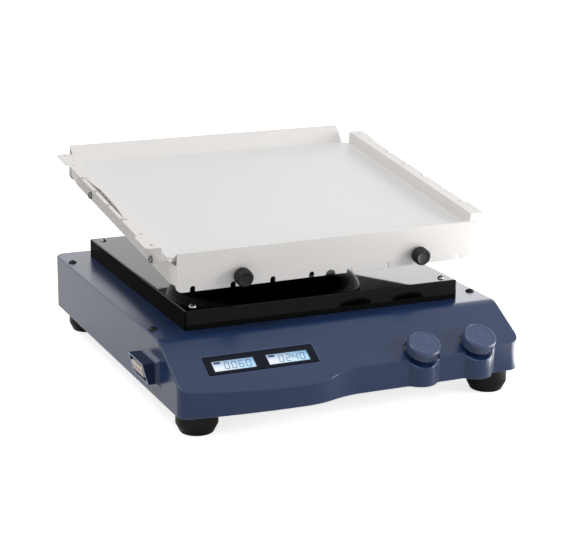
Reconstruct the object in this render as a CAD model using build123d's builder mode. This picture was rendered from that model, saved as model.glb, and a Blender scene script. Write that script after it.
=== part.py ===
from build123d import *
from math import asin, atan, cos, degrees, radians, sin
import os

os.makedirs("parts", exist_ok=True)

# A bench shaker whose tray nutates: it leans by a fixed angle, the lean runs round the
# vertical shaft, and a guide keeps the tray from turning with it.
# All sizes are in millimetres and all angles in degrees.
# The base has its middle a little off the origin, because the switch hood stands out on one side.
mid_x = 4.0
mid_y = 1.3

# Driving sizes of the housing
body_width = 370.0
body_rear = 210.0
body_bottom = 23.1
body_top = 82.1
wall = 3.0
panel_wall = 6.0
corner_radius = 12.0
left_corner_y = -201.0
left_face_y = -203.0
left_face_inset = 12.0
bulge_x = -60.0
bulge_y = -211.4
panel_edge_y = -199.5
panel_edge_x = 2.0
right_face_y = -195.5
lobe_radius = 18.0
lobe_y = -190.0
lobe_root_radius = 5.0
crease_y = -141.7
panel_slope = 28.55
crease_radius = 24.0
edge_round = 1.8
top_opening_width = 252.0
top_opening_depth = 258.0
opening_corner = 12.0

# Base plate, feet and the long pillars that tie the housing top to the plate
plate_thickness = 4.0
shell_gap = 0.3
foot_side_inset = 26.6
foot_rear_inset = 36.0
foot_front_y = -174.0
foot_radius = 20.5
foot_rim_radius = 16.0
foot_taper = 9.0
foot_recess_radius = 6.0
foot_recess_depth = 9.0
foot_rim_round = 2.0
pillar_radius = 4.4
pillar_inset = 7.9
pillar_rear_inset = 45.5
pillar_front_y = -104.4

# Fasteners: shank radius, head radius and head height of each thread
m4 = (2.0, 3.8, 2.6)
m5 = (2.5, 4.6, 3.0)
head_crown = 0.45
socket_share = 0.8
socket_depth_share = 0.5
hole_gap = 0.25
thread_gap = 0.04
turned_gap = 0.04

# Top cover and the posts under its screws
cover_width = 300.4
cover_depth = 307.4
cover_middle_y = 31.0
cover_height = 20.1
cover_sheet = 1.5
cover_round = 1.8
cover_screw_inset = 12.3
post_radius = 5.0
collar_gap = 0.6

# Vertical axis, the point that the tray rocks about, and the attitude of the tray at rest
axis_y = 37.0
pivot_z = 143.0
tilt = 9.0
tilt_heading = -88.0
tray_yaw = 2.0

# Mechanism plate, bearing housing and shaft
mech_width = 232.0
mech_depth = 232.0
mech_thickness = 6.0
mech_z = 86.0
mech_pillar_radius = 7.0
mech_pillar_inset = 12.0
neck_radius = 30.0
turret_top = 115.0
flange_radius = 46.0
flange_height = 5.5
sleeve_radius = 27.0
sleeve_bottom = 52.0
flange_screw_circle = 38.0
bearing_bore = 10.0
bearing_outer = 21.0
bearing_width = 12.0
bearing_lip = 1.5
shield_share = 0.25
shield_depth = 0.6
turned_edge = 0.6
shaft_bottom = 30.0
shaft_shoulder_z = 117.0
spigot_radius = 6.0
spigot_top = 148.0
spigot_gap = 0.5
crank_screw_length = 14.0
crank_screw_web = 2.5
crank_disc_radius = 22.0
crank_disc_top = -17.0
journal_radius = 12.5
journal_top = 18.0
journal_shoulder_radius = 16.0

# Belt drive
driven_radius = 34.0
motor_pulley_radius = 11.0
pulley_bottom = 31.0
pulley_height = 12.0
pulley_flange = 1.5
pulley_rim = 1.0
belt_thickness = 1.5
belt_gap = 0.3
motor_distance = 80.0
motor_radius = 34.0
motor_bottom = 50.0
motor_height = 33.0
motor_shaft_radius = 4.0
motor_edge = 1.0
end_gap = 1.0
bracket_thickness = 4.0
bracket_size = 74.0
standoff_radius = 5.0
standoff_inset = 6.5

# Carrier and its bearings, with heights measured along the tray's own axis from the pivot
journal_bearing_outer = 23.5
journal_bearing_width = 12.0
journal_bearing_spread = 4.0
carrier_boss_radius = 31.0
carrier_boss_bottom = -16.0
carrier_disc_thickness = 6.0
bowl_radius = 107.0
bowl_lip_radius = 80.0
bowl_bottom = -24.0
bowl_wall = 3.0
bowl_bend_height = -2.0
bowl_outer_bend = (0.72, 0.32)
bowl_inner_bend = (0.66, 0.32)
circlip_thickness = 1.2
circlip_depth = 1.6

# Guide pin, its roller and the fixed fork
pin_radius = 3.0
pin_depth = 6.0
roller_radius = 6.0
roller_length = 8.0
roller_distance = 44.0
fork_play = 0.9
fork_tine = 6.0
fork_depth = 12.0
fork_top = 151.0
fork_ring_width = 9.0
fork_ring_height = 9.0
fork_ring_bottom = 104.5

# Tray, measured from its own base level, which lies above the pivot along the tray's axis
tray_level = 24.8
sheet = 1.5
floor_top = 5.0
wall_inner_x = 173.5
wall_top = 18.8
lip_x = 187.0
wall_length = 272.0
ear_x = 190.0
ear_inner_y = 104.0
ear_outer_y = 135.0
flange_y = 158.7
flange_x = 167.0
flange_top = 20.0
flange_bottom = -21.2
flange_corner = 8.0
gutter_y = 141.0
gutter_ridge = 2.2
notch_pitch = 42.6
notch_width = 5.5
notch_height = 6.0
middle_notch_radius = 5.5
ear_corner = 3.0
lip_notch_pitch = 40.0
lip_notch_width = 6.0
lip_notch_depth = 3.0
lip_hole_radius = 1.5
lip_hole_x = 181.5
slot_length = 6.0
slot_width = 2.5
slot_y = 128.0
mat_thickness = 1.2
mat_margin = 6.0

# Support plate under the tray
support_sheet = 2.5
skirt_x = 165.0
skirt_y = 157.0
skirt_bottom = -19.0
skirt_taper_length = 20.0
skirt_taper_height = 4.0
support_flange_y = 150.0
support_flange_x = 140.0
support_flange_bottom = -17.0
flat_head_height = 1.9
support_screw_radius = 90.0
skirt_screw_y = 90.0
skirt_screw_z = -14.0
skirt_screw_length = 6.0
thumb_x = 99.3
thumb_z = -8.9
thumb_radius = 8.75
thumb_length = 12.5
thumb_neck_radius = 4.5
thumb_neck = 1.5
thumb_edge = 0.8
thumb_grips = 24
thumb_grip_radius = 0.7
washer_thickness = 1.0
washer_radius = 6.0
weld_nut_radius = 5.0
weld_nut_height = 4.0
tip_gap = 0.3

# Knobs and their encoders, with places measured down the sloped panel from the crease
knob_middle_inset = 82.6
knob_pitch = 62.9
knob_down = 58.0
knob_radius = 17.0
knob_top = 14.0
knob_bottom = 2.5
knob_wall = 2.0
knob_ribs = 48
knob_rib_depth = 0.45
knob_round = 1.8
knob_band = 2.5
spindle_end_gap = 0.5
knob_boss_radius = 5.0
recess_radius = 18.8
recess_depth = 3.0
spindle_radius = 3.0
spindle_travel = 0.8
bush_radius = 4.5
bush_top = -0.6
nut_radius = 7.0
nut_height = 2.0
encoder_size = 14.0
encoder_height = 8.0

# Display
bezel_inset = 91.5
bezel_down = 39.75
bezel_width = 113.4
bezel_height = 23.5
bezel_thickness = 1.5
bezel_proud = 0.3
bezel_corner = 1.5
lcd_shift = -0.8
lcd_pitch = 55.9
lcd_down = 41.4
lcd_width = 42.5
lcd_height = 13.0
board_thickness = 1.6
display_board_margin = 4.0
display_window_margin = 3.0

# Switch hood on the left side
hood_front_y = -145.5
hood_length = 41.5
hood_bottom = 41.0
hood_top = 62.5
hood_reach_bottom = 11.4
hood_reach_top = 17.5
hood_edge_round = 0.7
hood_root_radius = 5.0
pocket_width = 37.0
pocket_reach = 19.0
switch_pocket_depth = 5.0
switch_length = 33.0
switch_height = 15.0
switch_rim = 1.6
rocker_length = 24.0
rocker_height = 8.0
rocker_rise = 1.6
rocker_dip = 0.8
rocker_drop = 4.5
rocker_pivot_depth = 5.0
trunnion_radius = 1.2
trunnion_length = 0.9
switch_body_depth = 24.0
rocker_tilt = 6.0
boot_height = 4.4
boot_wall = 0.8
boot_taper = 25
boot_inner_taper = 12
boot_edge = 0.5
window_play = 0.5
window_depth = 8.0

# Mains inlet, power supply and control board
inlet_inset = 65.0
inlet_z = 50.0
inlet_width = 58.0
inlet_height = 30.0
inlet_flange = 2.5
inlet_depth = 22.0
inlet_socket_width = 24.4
inlet_socket_height = 16.8
inlet_socket_depth = 17.0
inlet_socket_shift = -12.0
fuse_width = 14.0
fuse_height = 22.0
fuse_depth = 15.0
fuse_shift = 15.0
fuse_grip = 1.6
fuse_grip_depth = 1.2
fuse_grip_inset = 3.0
inlet_corner = 2.0
blade_pitch = 7.0
blade_size = (2.0, 4.0)
blade_length = 10.0
supply_inset = 38.0
supply_y = 60.0
supply_width = 44.0
supply_length = 120.0
supply_height = 32.0
supply_round = 1.5
board_x = -10.0
board_y = -128.0
board_width = 150.0
board_depth = 60.0
chip_height = 9.0
standoff_height = 5.0
board_standoff_radius = 3.0
board_standoff_inset = 6.0

# Planes that everything is built on
ground = Plane((mid_x, mid_y, 0))
half_width = body_width / 2
left_face_x = left_face_inset - half_width
bezel_x = bezel_inset - half_width
lcd_middle_x = bezel_x + lcd_shift
knob_middle_x = half_width - knob_middle_inset
inlet_x = half_width - inlet_inset
supply_x = half_width - supply_inset
plate_top = body_bottom + plate_thickness
panel_out = (0, -sin(radians(panel_slope)), cos(radians(panel_slope)))
panel = Plane(ground.from_local_coords((0, crease_y, body_top)), x_dir=(1, 0, 0), z_dir=panel_out)
axis_plane = Plane(ground.from_local_coords((0, axis_y, 0)))
pivot = Location(axis_plane.from_local_coords((0, 0, pivot_z)))
lean = Location((0, 0, 0), (0, 0, tilt_heading)) * Location((0, 0, 0), (0, tilt, 0))
crank = Plane(pivot * lean)
platform = Plane(pivot * lean * Location((0, 0, 0), (0, 0, tray_yaw - tilt_heading)))
tray_base = platform.offset(tray_level)
knob_spots = [knob_middle_x - knob_pitch / 2, knob_middle_x + knob_pitch / 2]
cover_top = body_top + cover_height


def front_view(plane, y):
    """Plane facing the plane's own front, at distance y along its Y axis: local x = X, y = Z."""
    return Plane(plane.from_local_coords((0, y, 0)), x_dir=plane.x_dir, z_dir=-plane.y_dir)


def side_view(plane, x):
    """Plane facing the plane's own right side, at distance x: local x = Y, y = Z."""
    return Plane(plane.from_local_coords((x, 0, 0)), x_dir=plane.y_dir, z_dir=plane.x_dir)


def at_height(shapes, plane, height):
    """Those faces or edges whose middle lies at that height over the plane."""
    return shapes.filter_by(lambda s: abs(plane.to_local_coords(s.center()).Z - height) < 0.01)


def fasteners(plane, spots, thread, length):
    """Round-head screws whose heads sit on the plane, with their shanks below it."""
    shank, head, height = thread
    with BuildPart() as screws:
        with BuildSketch(plane):
            with Locations(*spots):
                Circle(head)
        extrude(amount=height)
        crowns = at_height(screws.faces().filter_by(GeomType.PLANE), plane, height)
        fillet(crowns.edges(), height * head_crown)
        with BuildSketch(plane.offset(height)):
            with Locations(*spots):
                RegularPolygon(shank * socket_share, 6)
        extrude(amount=-height * socket_depth_share, mode=Mode.SUBTRACT)
        with BuildSketch(plane):
            with Locations(*spots):
                Circle(shank - thread_gap)
        extrude(amount=-length)
    return screws


def ring(plane, inner, outer, height):
    """A plain ring that stands on the plane."""
    with BuildPart() as made:
        with BuildSketch(plane):
            Circle(outer)
            Circle(inner, mode=Mode.SUBTRACT)
        extrude(amount=height)
    return made


def save(piece, name):
    """Label a finished piece and write it as its own file."""
    piece.part.label = name
    export_step(piece.part, f"parts/{name}.step")


# Plan outline of the body: square at the back, with a bulge and two round lobes at the front
with BuildSketch() as outline:
    with BuildLine():
        Polyline(
            (-half_width, left_corner_y),
            (-half_width, body_rear),
            (half_width, body_rear),
            (half_width, right_face_y),
            (knob_spots[1], right_face_y),
            (knob_spots[1], panel_edge_y),
            (panel_edge_x, panel_edge_y),
        )
        bend = ((panel_edge_x + bulge_x) / 2, (panel_edge_y + bulge_y) / 2)
        first_arc = TangentArc((panel_edge_x, panel_edge_y), bend, tangent=(-1, 0))
        TangentArc(bend, (bulge_x, bulge_y), tangent=first_arc % 1)
        TangentArc((bulge_x, bulge_y), (left_face_x, left_face_y), tangent=(-1, 0))
        Line((left_face_x, left_face_y), (-half_width, left_corner_y))
    make_face()
    with Locations(*[(x, lobe_y) for x in knob_spots]):
        Circle(lobe_radius)
    corners = outline.vertices().filter_by(lambda v: abs(abs(v.X) - half_width) < 0.01)
    fillet(corners, corner_radius)
    roots = outline.vertices().filter_by(lambda v: v.X > knob_spots[0] - 1.5 * lobe_radius and v.Y < lobe_y)
    roots = roots.filter_by(lambda v: v.X < knob_spots[1] + 1.5 * lobe_radius)
    fillet(roots, lobe_root_radius)

with BuildSketch() as inner_outline:
    offset(outline.sketch, amount=-wall)

# Space inside the housing, under its top and its sloped panel
with BuildPart() as cavity:
    with BuildSketch(ground.offset(body_bottom)):
        add(inner_outline.sketch)
    extrude(amount=body_top - wall - body_bottom)
    split(bisect_by=panel.offset(-panel_wall), keep=Keep.BOTTOM)

hood_slope = degrees(atan((hood_reach_top - hood_reach_bottom) / (hood_top - hood_bottom)))
hood_out = (-cos(radians(hood_slope)), 0, -sin(radians(hood_slope)))
hood_middle = (
    -half_width - (hood_reach_top + hood_reach_bottom) / 2,
    hood_front_y + hood_length / 2,
    (hood_top + hood_bottom) / 2,
)
hood_face = Plane(ground.from_local_coords(hood_middle), x_dir=(0, -1, 0), z_dir=hood_out)
hood_side = Plane(
    ground.from_local_coords((-half_width, hood_front_y, 0)), x_dir=(-1, 0, 0), z_dir=(0, 1, 0)
)
pillar_spots = [
    (side * (half_width - pillar_inset), y)
    for side in (-1, 1)
    for y in (pillar_front_y, body_rear - pillar_rear_inset)
]
post_spots = [
    (
        sx * (cover_width / 2 - cover_screw_inset),
        cover_middle_y + sy * (cover_depth / 2 - cover_screw_inset),
    )
    for sx in (-1, 1)
    for sy in (-1, 1)
]
inlet_plane = Plane(
    ground.from_local_coords((inlet_x, body_rear, inlet_z)), x_dir=(-1, 0, 0), z_dir=(0, 1, 0)
)

# Housing: one painted shell, open underneath, with the switch hood on its left side
with BuildPart() as housing:
    with BuildSketch(ground.offset(body_bottom)):
        add(outline.sketch)
    extrude(amount=body_top - body_bottom)
    split(bisect_by=panel, keep=Keep.BOTTOM)
    front_half = housing.edges().filter_by(Axis.X).filter_by(lambda e: e.center().Y < mid_y)
    crease = front_half.sort_by(Axis.Z)[-1]
    fillet(crease, crease_radius)
    upper = housing.edges().filter_by(lambda e: min((e @ 0).Z, (e @ 1).Z) > body_bottom + wall)
    wide = upper.filter_by(Axis.X).filter_by(lambda e: abs(e.length - body_width) < wall)
    across = wide.filter_by(lambda e: e.center().Y < mid_y)
    standing = upper.filter_by(Axis.Z)
    rim = [e for e in upper if e not in across and e not in standing]
    fillet(rim, edge_round)
    with BuildSketch(hood_side) as hood_profile:
        with BuildLine():
            Polyline(
                (-wall, hood_bottom),
                (hood_reach_bottom, hood_bottom),
                (hood_reach_top, hood_top),
                (-wall, hood_top),
                close=True,
            )
        make_face()
    extrude(amount=hood_length)
    hood_span = (mid_y + hood_front_y - wall, mid_y + hood_front_y + hood_length + wall)
    near_hood = housing.edges().filter_by(lambda e: hood_span[0] < e.center().Y < hood_span[1])
    hood_root = near_hood.filter_by(
        lambda e: abs(e.center().X - mid_x + half_width) < 0.01 and e.length < hood_length + wall
    )
    fillet(hood_root, hood_root_radius)
    hood_middle_x = mid_x - half_width - hood_reach_bottom / 2
    left_of_body = housing.edges().filter_by(lambda e: e.center().X < hood_middle_x)
    fillet(at_height(left_of_body, hood_face, 0), hood_edge_round)
    add(cavity.part, mode=Mode.SUBTRACT)
    with BuildSketch(ground.offset(body_top)):
        with Locations((0, cover_middle_y)):
            RectangleRounded(top_opening_width, top_opening_depth, opening_corner)
        with Locations(*(pillar_spots + post_spots)):
            Circle(m4[0] + hole_gap)
    extrude(amount=-2 * wall, mode=Mode.SUBTRACT)
    with BuildSketch(panel):
        with Locations(*[(x, -knob_down) for x in knob_spots]):
            Circle(recess_radius)
    extrude(amount=-recess_depth, mode=Mode.SUBTRACT)
    with BuildSketch(panel):
        with Locations(*[(x, -knob_down) for x in knob_spots]):
            Circle(bush_radius + hole_gap)
    extrude(amount=-2 * panel_wall, mode=Mode.SUBTRACT)
    with BuildSketch(panel):
        with Locations((bezel_x, -bezel_down)):
            RectangleRounded(bezel_width + 2 * hole_gap, bezel_height + 2 * hole_gap, bezel_corner + hole_gap)
    extrude(amount=bezel_proud - bezel_thickness, mode=Mode.SUBTRACT)
    with BuildSketch(panel):
        with Locations((lcd_middle_x, -lcd_down)):
            Rectangle(lcd_pitch + lcd_width + display_window_margin, lcd_height + display_window_margin)
    extrude(amount=-2 * panel_wall, mode=Mode.SUBTRACT)
    with BuildSketch(hood_face):
        Rectangle(pocket_width, pocket_reach)
    extrude(amount=-switch_pocket_depth, mode=Mode.SUBTRACT)
    with BuildSketch(hood_face):
        Rectangle(switch_length - 2 * switch_rim, switch_height - 2 * switch_rim)
    extrude(amount=-(hood_reach_top + 3 * wall), mode=Mode.SUBTRACT)
    with BuildSketch(inlet_plane):
        Rectangle(inlet_width - 6 * hole_gap - 2 * wall, inlet_height - 2 * wall)
    extrude(amount=-2 * wall, mode=Mode.SUBTRACT)
save(housing, "housing")

# Base plate, which closes the housing from below
foot_spots = [
    (side * (half_width - foot_side_inset), y)
    for side in (-1, 1)
    for y in (foot_front_y, body_rear - foot_rear_inset)
]
mech_spots = [
    (sx * (mech_width / 2 - mech_pillar_inset), cover_middle_y + sy * (mech_depth / 2 - mech_pillar_inset))
    for sx in (-1, 1)
    for sy in (-1, 1)
]
with BuildPart() as base_plate:
    with BuildSketch(ground.offset(body_bottom)):
        offset(outline.sketch, amount=-(wall + shell_gap))
        with Locations(*(foot_spots + pillar_spots + mech_spots)):
            Circle(m4[0] + thread_gap, mode=Mode.SUBTRACT)
    extrude(amount=plate_thickness)
save(base_plate, "base_plate")

# Rubber feet: a straight drum above a taper, with a recess for the screw
with BuildPart() as feet:
    for x, y in foot_spots:
        foot_plane = Plane(ground.from_local_coords((x, y, 0)))
        with BuildSketch(front_view(foot_plane, 0)) as foot_profile:
            with BuildLine():
                Polyline(
                    (m4[0] + hole_gap, foot_recess_depth),
                    (foot_recess_radius, foot_recess_depth),
                    (foot_recess_radius, 0),
                    (foot_rim_radius, 0),
                    (foot_radius, foot_taper),
                    (foot_radius, body_bottom),
                    (m4[0] + hole_gap, body_bottom),
                    close=True,
                )
            make_face()
        revolve(axis=Axis(foot_plane.origin, (0, 0, 1)))
    rims = feet.edges().filter_by(lambda e: abs(e.center().Z) < 0.01 and e.length > 6.5 * foot_recess_radius)
    fillet(rims, foot_rim_round)
save(feet, "feet")

# Screws that hold the feet, set head down in their recesses
foot_screw_plane = Plane(
    ground.from_local_coords((0, 0, foot_recess_depth)), x_dir=(1, 0, 0), z_dir=(0, 0, -1)
)
foot_screws = fasteners(
    foot_screw_plane,
    [(x, -y) for x, y in foot_spots],
    m4,
    plate_top - foot_recess_depth,
)
save(foot_screws, "foot_screws")

# Steel pillars between the base plate and the housing top, and the black screws above them
with BuildPart() as housing_pillars:
    with BuildSketch(ground.offset(plate_top)):
        with Locations(*pillar_spots):
            Circle(pillar_radius)
            Circle(m4[0] + thread_gap, mode=Mode.SUBTRACT)
    extrude(amount=body_top - wall - plate_top)
save(housing_pillars, "housing_pillars")

housing_screws = fasteners(ground.offset(body_top), pillar_spots, m4, 4 * wall)
save(housing_screws, "housing_screws")

# Top cover: a folded sheet box, open underneath, with a round hole for the turret
with BuildPart() as top_cover:
    with BuildSketch(ground.offset(body_top)):
        with Locations((0, cover_middle_y)):
            RectangleRounded(cover_width, cover_depth, cover_round)
    extrude(amount=cover_height)
    fillet(top_cover.faces().sort_by(Axis.Z)[-1].edges(), cover_round)
    with BuildSketch(ground.offset(body_top)):
        with Locations((0, cover_middle_y)):
            Rectangle(cover_width - 2 * cover_sheet, cover_depth - 2 * cover_sheet)
    extrude(amount=cover_height - cover_sheet, mode=Mode.SUBTRACT)
    with BuildSketch(ground.offset(cover_top)):
        with Locations(*post_spots):
            Circle(m4[0] + hole_gap)
        with Locations((0, axis_y)):
            Circle(neck_radius + collar_gap)
    extrude(amount=-2 * cover_sheet, mode=Mode.SUBTRACT)
save(top_cover, "top_cover")

with BuildPart() as cover_posts:
    with BuildSketch(ground.offset(body_top)):
        with Locations(*post_spots):
            Circle(post_radius)
            Circle(m4[0] + thread_gap, mode=Mode.SUBTRACT)
    extrude(amount=cover_height - cover_sheet)
save(cover_posts, "cover_posts")

cover_screws = fasteners(ground.offset(cover_top), post_spots, m4, cover_height + wall)
save(cover_screws, "cover_screws")

# Mechanism plate on four pillars, inside the opening of the housing top
mech_top = mech_z + mech_thickness
flange_spots = PolarLocations(flange_screw_circle, 4, 45).local_locations
flange_points = [(p.position.X, axis_y + p.position.Y) for p in flange_spots]
motor_x = -motor_distance
standoff_offset = bracket_size / 2 - standoff_inset
standoff_spots = [
    (motor_x + sx * standoff_offset, axis_y + sy * standoff_offset) for sx in (-1, 1) for sy in (-1, 1)
]
with BuildPart() as mechanism_plate:
    with BuildSketch(ground.offset(mech_z)):
        with Locations((0, cover_middle_y)):
            RectangleRounded(mech_width, mech_depth, mech_pillar_inset)
        with Locations((0, axis_y)):
            Circle(sleeve_radius + thread_gap, mode=Mode.SUBTRACT)
        with Locations(*(mech_spots + flange_points + standoff_spots)):
            Circle(m4[0] + thread_gap, mode=Mode.SUBTRACT)
    extrude(amount=mech_thickness)
save(mechanism_plate, "mechanism_plate")

with BuildPart() as mechanism_pillars:
    with BuildSketch(ground.offset(plate_top)):
        with Locations(*mech_spots):
            Circle(mech_pillar_radius)
            Circle(m4[0] + thread_gap, mode=Mode.SUBTRACT)
    extrude(amount=mech_z - plate_top)
save(mechanism_pillars, "mechanism_pillars")

# Bearing housing: sleeve through the plate, flange on it and neck up through the cover
flange_top_z = mech_top + flange_height
with BuildPart() as bearing_housing:
    with BuildSketch(front_view(axis_plane, 0)):
        with BuildLine():
            Polyline(
                (bearing_outer - bearing_lip, sleeve_bottom + bearing_width),
                (bearing_outer + turned_gap, sleeve_bottom + bearing_width),
                (bearing_outer + turned_gap, sleeve_bottom),
                (sleeve_radius, sleeve_bottom),
                (sleeve_radius, mech_top),
                (flange_radius, mech_top),
                (flange_radius, flange_top_z),
                (neck_radius, flange_top_z),
                (neck_radius, turret_top),
                (bearing_outer + turned_gap, turret_top),
                (bearing_outer + turned_gap, turret_top - bearing_width),
                (bearing_outer - bearing_lip, turret_top - bearing_width),
                close=True,
            )
        make_face()
    revolve(axis=Axis(axis_plane.origin, (0, 0, 1)))
    with BuildSketch(ground.offset(flange_top_z)):
        with Locations(*flange_points):
            Circle(m4[0] + hole_gap)
    extrude(amount=-2 * flange_height, mode=Mode.SUBTRACT)
    chamfer(bearing_housing.faces().sort_by(Axis.Z)[-1].edges(), turned_edge)
save(bearing_housing, "bearing_housing")


def bearing(planes, inner, outer, width):
    """Ball bearings as closed rings with a shallow shield groove in both faces."""
    with BuildPart() as made:
        for plane in planes:
            with BuildSketch(plane):
                Circle(outer)
                Circle(inner, mode=Mode.SUBTRACT)
            extrude(amount=width)
            for face, way in ((plane, 1), (plane.offset(width), -1)):
                with BuildSketch(face):
                    Circle(outer - (outer - inner) * shield_share)
                    Circle(inner + (outer - inner) * shield_share, mode=Mode.SUBTRACT)
                extrude(amount=way * shield_depth, mode=Mode.SUBTRACT)
    return made


shaft_bearings = bearing(
    [axis_plane.offset(sleeve_bottom), axis_plane.offset(turret_top - bearing_width)],
    bearing_bore,
    bearing_outer,
    bearing_width,
)
save(shaft_bearings, "shaft_bearings")

# Screws of the mechanism: plate on its pillars, bearing flange on the plate
mechanism_screws = fasteners(ground.offset(mech_top), mech_spots + standoff_spots, m4, 2 * mech_thickness)
with BuildPart() as flange_screws:
    add(mechanism_screws.part)
    add(fasteners(ground.offset(flange_top_z), flange_points, m4, 2 * mech_thickness).part)
save(flange_screws, "mechanism_screws")

# Shaft, standing in the two bearings, with a spigot for the crank hub on top
shaft_radius = bearing_bore - turned_gap
with BuildPart() as main_shaft:
    with BuildSketch(axis_plane.offset(shaft_bottom)):
        Circle(shaft_radius)
    extrude(amount=shaft_shoulder_z - shaft_bottom)
    with BuildSketch(axis_plane.offset(shaft_shoulder_z)):
        Circle(spigot_radius)
    extrude(amount=spigot_top - shaft_shoulder_z)
    chamfer(main_shaft.faces().sort_by(Axis.Z)[0].edges(), turned_edge)
    with BuildSketch(axis_plane.offset(spigot_top)):
        Circle(m4[0] + thread_gap)
    extrude(amount=-crank_screw_length, mode=Mode.SUBTRACT)
save(main_shaft, "main_shaft")

# Crank hub: level underneath, with a leaning disc and journal on top
with BuildPart() as crank_hub:
    with BuildSketch(crank.offset(crank_disc_top)):
        Circle(crank_disc_radius)
    extrude(amount=-(pivot_z - shaft_shoulder_z))
    split(bisect_by=axis_plane.offset(shaft_shoulder_z), keep=Keep.TOP)
    with BuildSketch(crank.offset(crank_disc_top)):
        Circle(journal_shoulder_radius)
    journal_bottom = -journal_bearing_spread / 2 - journal_bearing_width
    extrude(amount=journal_bottom - crank_disc_top)
    with BuildSketch(crank.offset(journal_bottom)):
        Circle(journal_radius - turned_gap)
    extrude(amount=journal_top - journal_bottom)
    groove_z = journal_bearing_spread / 2 + journal_bearing_width
    with BuildSketch(crank.offset(groove_z)):
        Circle(journal_radius + end_gap)
        Circle(journal_radius - circlip_depth, mode=Mode.SUBTRACT)
    extrude(amount=circlip_thickness, mode=Mode.SUBTRACT)
    with BuildSketch(axis_plane.offset(shaft_shoulder_z)):
        Circle(spigot_radius + turned_gap)
    extrude(amount=spigot_top + spigot_gap - shaft_shoulder_z, mode=Mode.SUBTRACT)
    with BuildSketch(axis_plane.offset(spigot_top)):
        Circle(m4[0] + hole_gap)
    extrude(amount=journal_top, mode=Mode.SUBTRACT)
    crank_screw_seat = axis_plane.offset(spigot_top + crank_screw_web)
    with BuildSketch(crank_screw_seat):
        Circle(m4[1] + hole_gap)
    extrude(amount=journal_top, mode=Mode.SUBTRACT)
save(crank_hub, "crank_hub")

crank_screw = fasteners(crank_screw_seat, [(0, 0)], m4, crank_screw_length)
save(crank_screw, "crank_screw")

journal_circlip = ring(
    crank.offset(groove_z),
    journal_radius - circlip_depth + turned_gap,
    journal_radius + circlip_depth,
    circlip_thickness - turned_gap,
)
save(journal_circlip, "journal_circlip")


def pulley(plane, bore, radius):
    """Flanged belt pulley."""
    with BuildPart() as made:
        with BuildSketch(plane):
            Circle(radius + belt_thickness + pulley_rim)
        extrude(amount=pulley_flange)
        with BuildSketch(plane.offset(pulley_flange)):
            Circle(radius)
        extrude(amount=pulley_height - 2 * pulley_flange)
        with BuildSketch(plane.offset(pulley_height - pulley_flange)):
            Circle(radius + belt_thickness + pulley_rim)
        extrude(amount=pulley_flange)
        with BuildSketch(plane):
            Circle(bore + turned_gap)
        extrude(amount=pulley_height, mode=Mode.SUBTRACT)
    return made


motor_plane = Plane(axis_plane.from_local_coords((motor_x, 0, 0)))
driven_pulley = pulley(axis_plane.offset(pulley_bottom), shaft_radius, driven_radius)
save(driven_pulley, "driven_pulley")
motor_pulley = pulley(motor_plane.offset(pulley_bottom), motor_shaft_radius, motor_pulley_radius)
save(motor_pulley, "motor_pulley")

# Belt: a flat loop round both pulleys, clear of them by a hair
belt_lean = asin((driven_radius - motor_pulley_radius) / motor_distance)
with BuildPart() as belt:
    with BuildSketch(axis_plane.offset(pulley_bottom + pulley_flange + belt_gap)):
        for extra, mode in ((belt_gap + belt_thickness, Mode.ADD), (belt_gap, Mode.SUBTRACT)):
            big = driven_radius + extra
            small = motor_pulley_radius + extra
            with BuildLine():
                a = (-big * sin(belt_lean), big * cos(belt_lean))
                b = (motor_x - small * sin(belt_lean), small * cos(belt_lean))
                c = (b[0], -b[1])
                d = (a[0], -a[1])
                Line(a, b)
                ThreePointArc(b, (motor_x - small, 0), c)
                Line(c, d)
                ThreePointArc(d, (big, 0), a)
            make_face(mode=mode)
    extrude(amount=pulley_height - 2 * pulley_flange - 2 * belt_gap)
save(belt, "belt")

# Motor, hung under the mechanism plate on a bracket, with its shaft pointing down
with BuildPart() as motor_bracket:
    with BuildSketch(motor_plane.offset(motor_bottom - bracket_thickness)):
        RectangleRounded(bracket_size, bracket_size, standoff_inset)
        Circle(motor_pulley_radius + bracket_thickness, mode=Mode.SUBTRACT)
        with GridLocations(2 * standoff_offset, 2 * standoff_offset, 2, 2):
            Circle(m4[0] + thread_gap, mode=Mode.SUBTRACT)
    extrude(amount=bracket_thickness)
save(motor_bracket, "motor_bracket")

with BuildPart() as motor_standoffs:
    with BuildSketch(motor_plane.offset(motor_bottom)):
        with GridLocations(2 * standoff_offset, 2 * standoff_offset, 2, 2):
            Circle(standoff_radius)
            Circle(m4[0] + thread_gap, mode=Mode.SUBTRACT)
    extrude(amount=mech_z - motor_bottom)
save(motor_standoffs, "motor_standoffs")

with BuildPart() as motor_body:
    with BuildSketch(motor_plane.offset(motor_bottom)):
        Circle(motor_radius)
        with GridLocations(2 * standoff_offset, 2 * standoff_offset, 2, 2):
            Circle(standoff_radius + hole_gap, mode=Mode.SUBTRACT)
    extrude(amount=motor_height)
    chamfer(motor_body.faces().sort_by(Axis.Z)[-1].edges(), motor_edge)
    with BuildSketch(motor_plane.offset(motor_bottom)):
        Circle(motor_shaft_radius + turned_gap)
    extrude(amount=motor_height / 2, mode=Mode.SUBTRACT)
save(motor_body, "motor_body")

with BuildPart() as motor_shaft:
    with BuildSketch(motor_plane.offset(pulley_bottom)):
        Circle(motor_shaft_radius)
    extrude(amount=motor_bottom + motor_height / 2 - end_gap - pulley_bottom)
save(motor_shaft, "motor_shaft")

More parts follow.
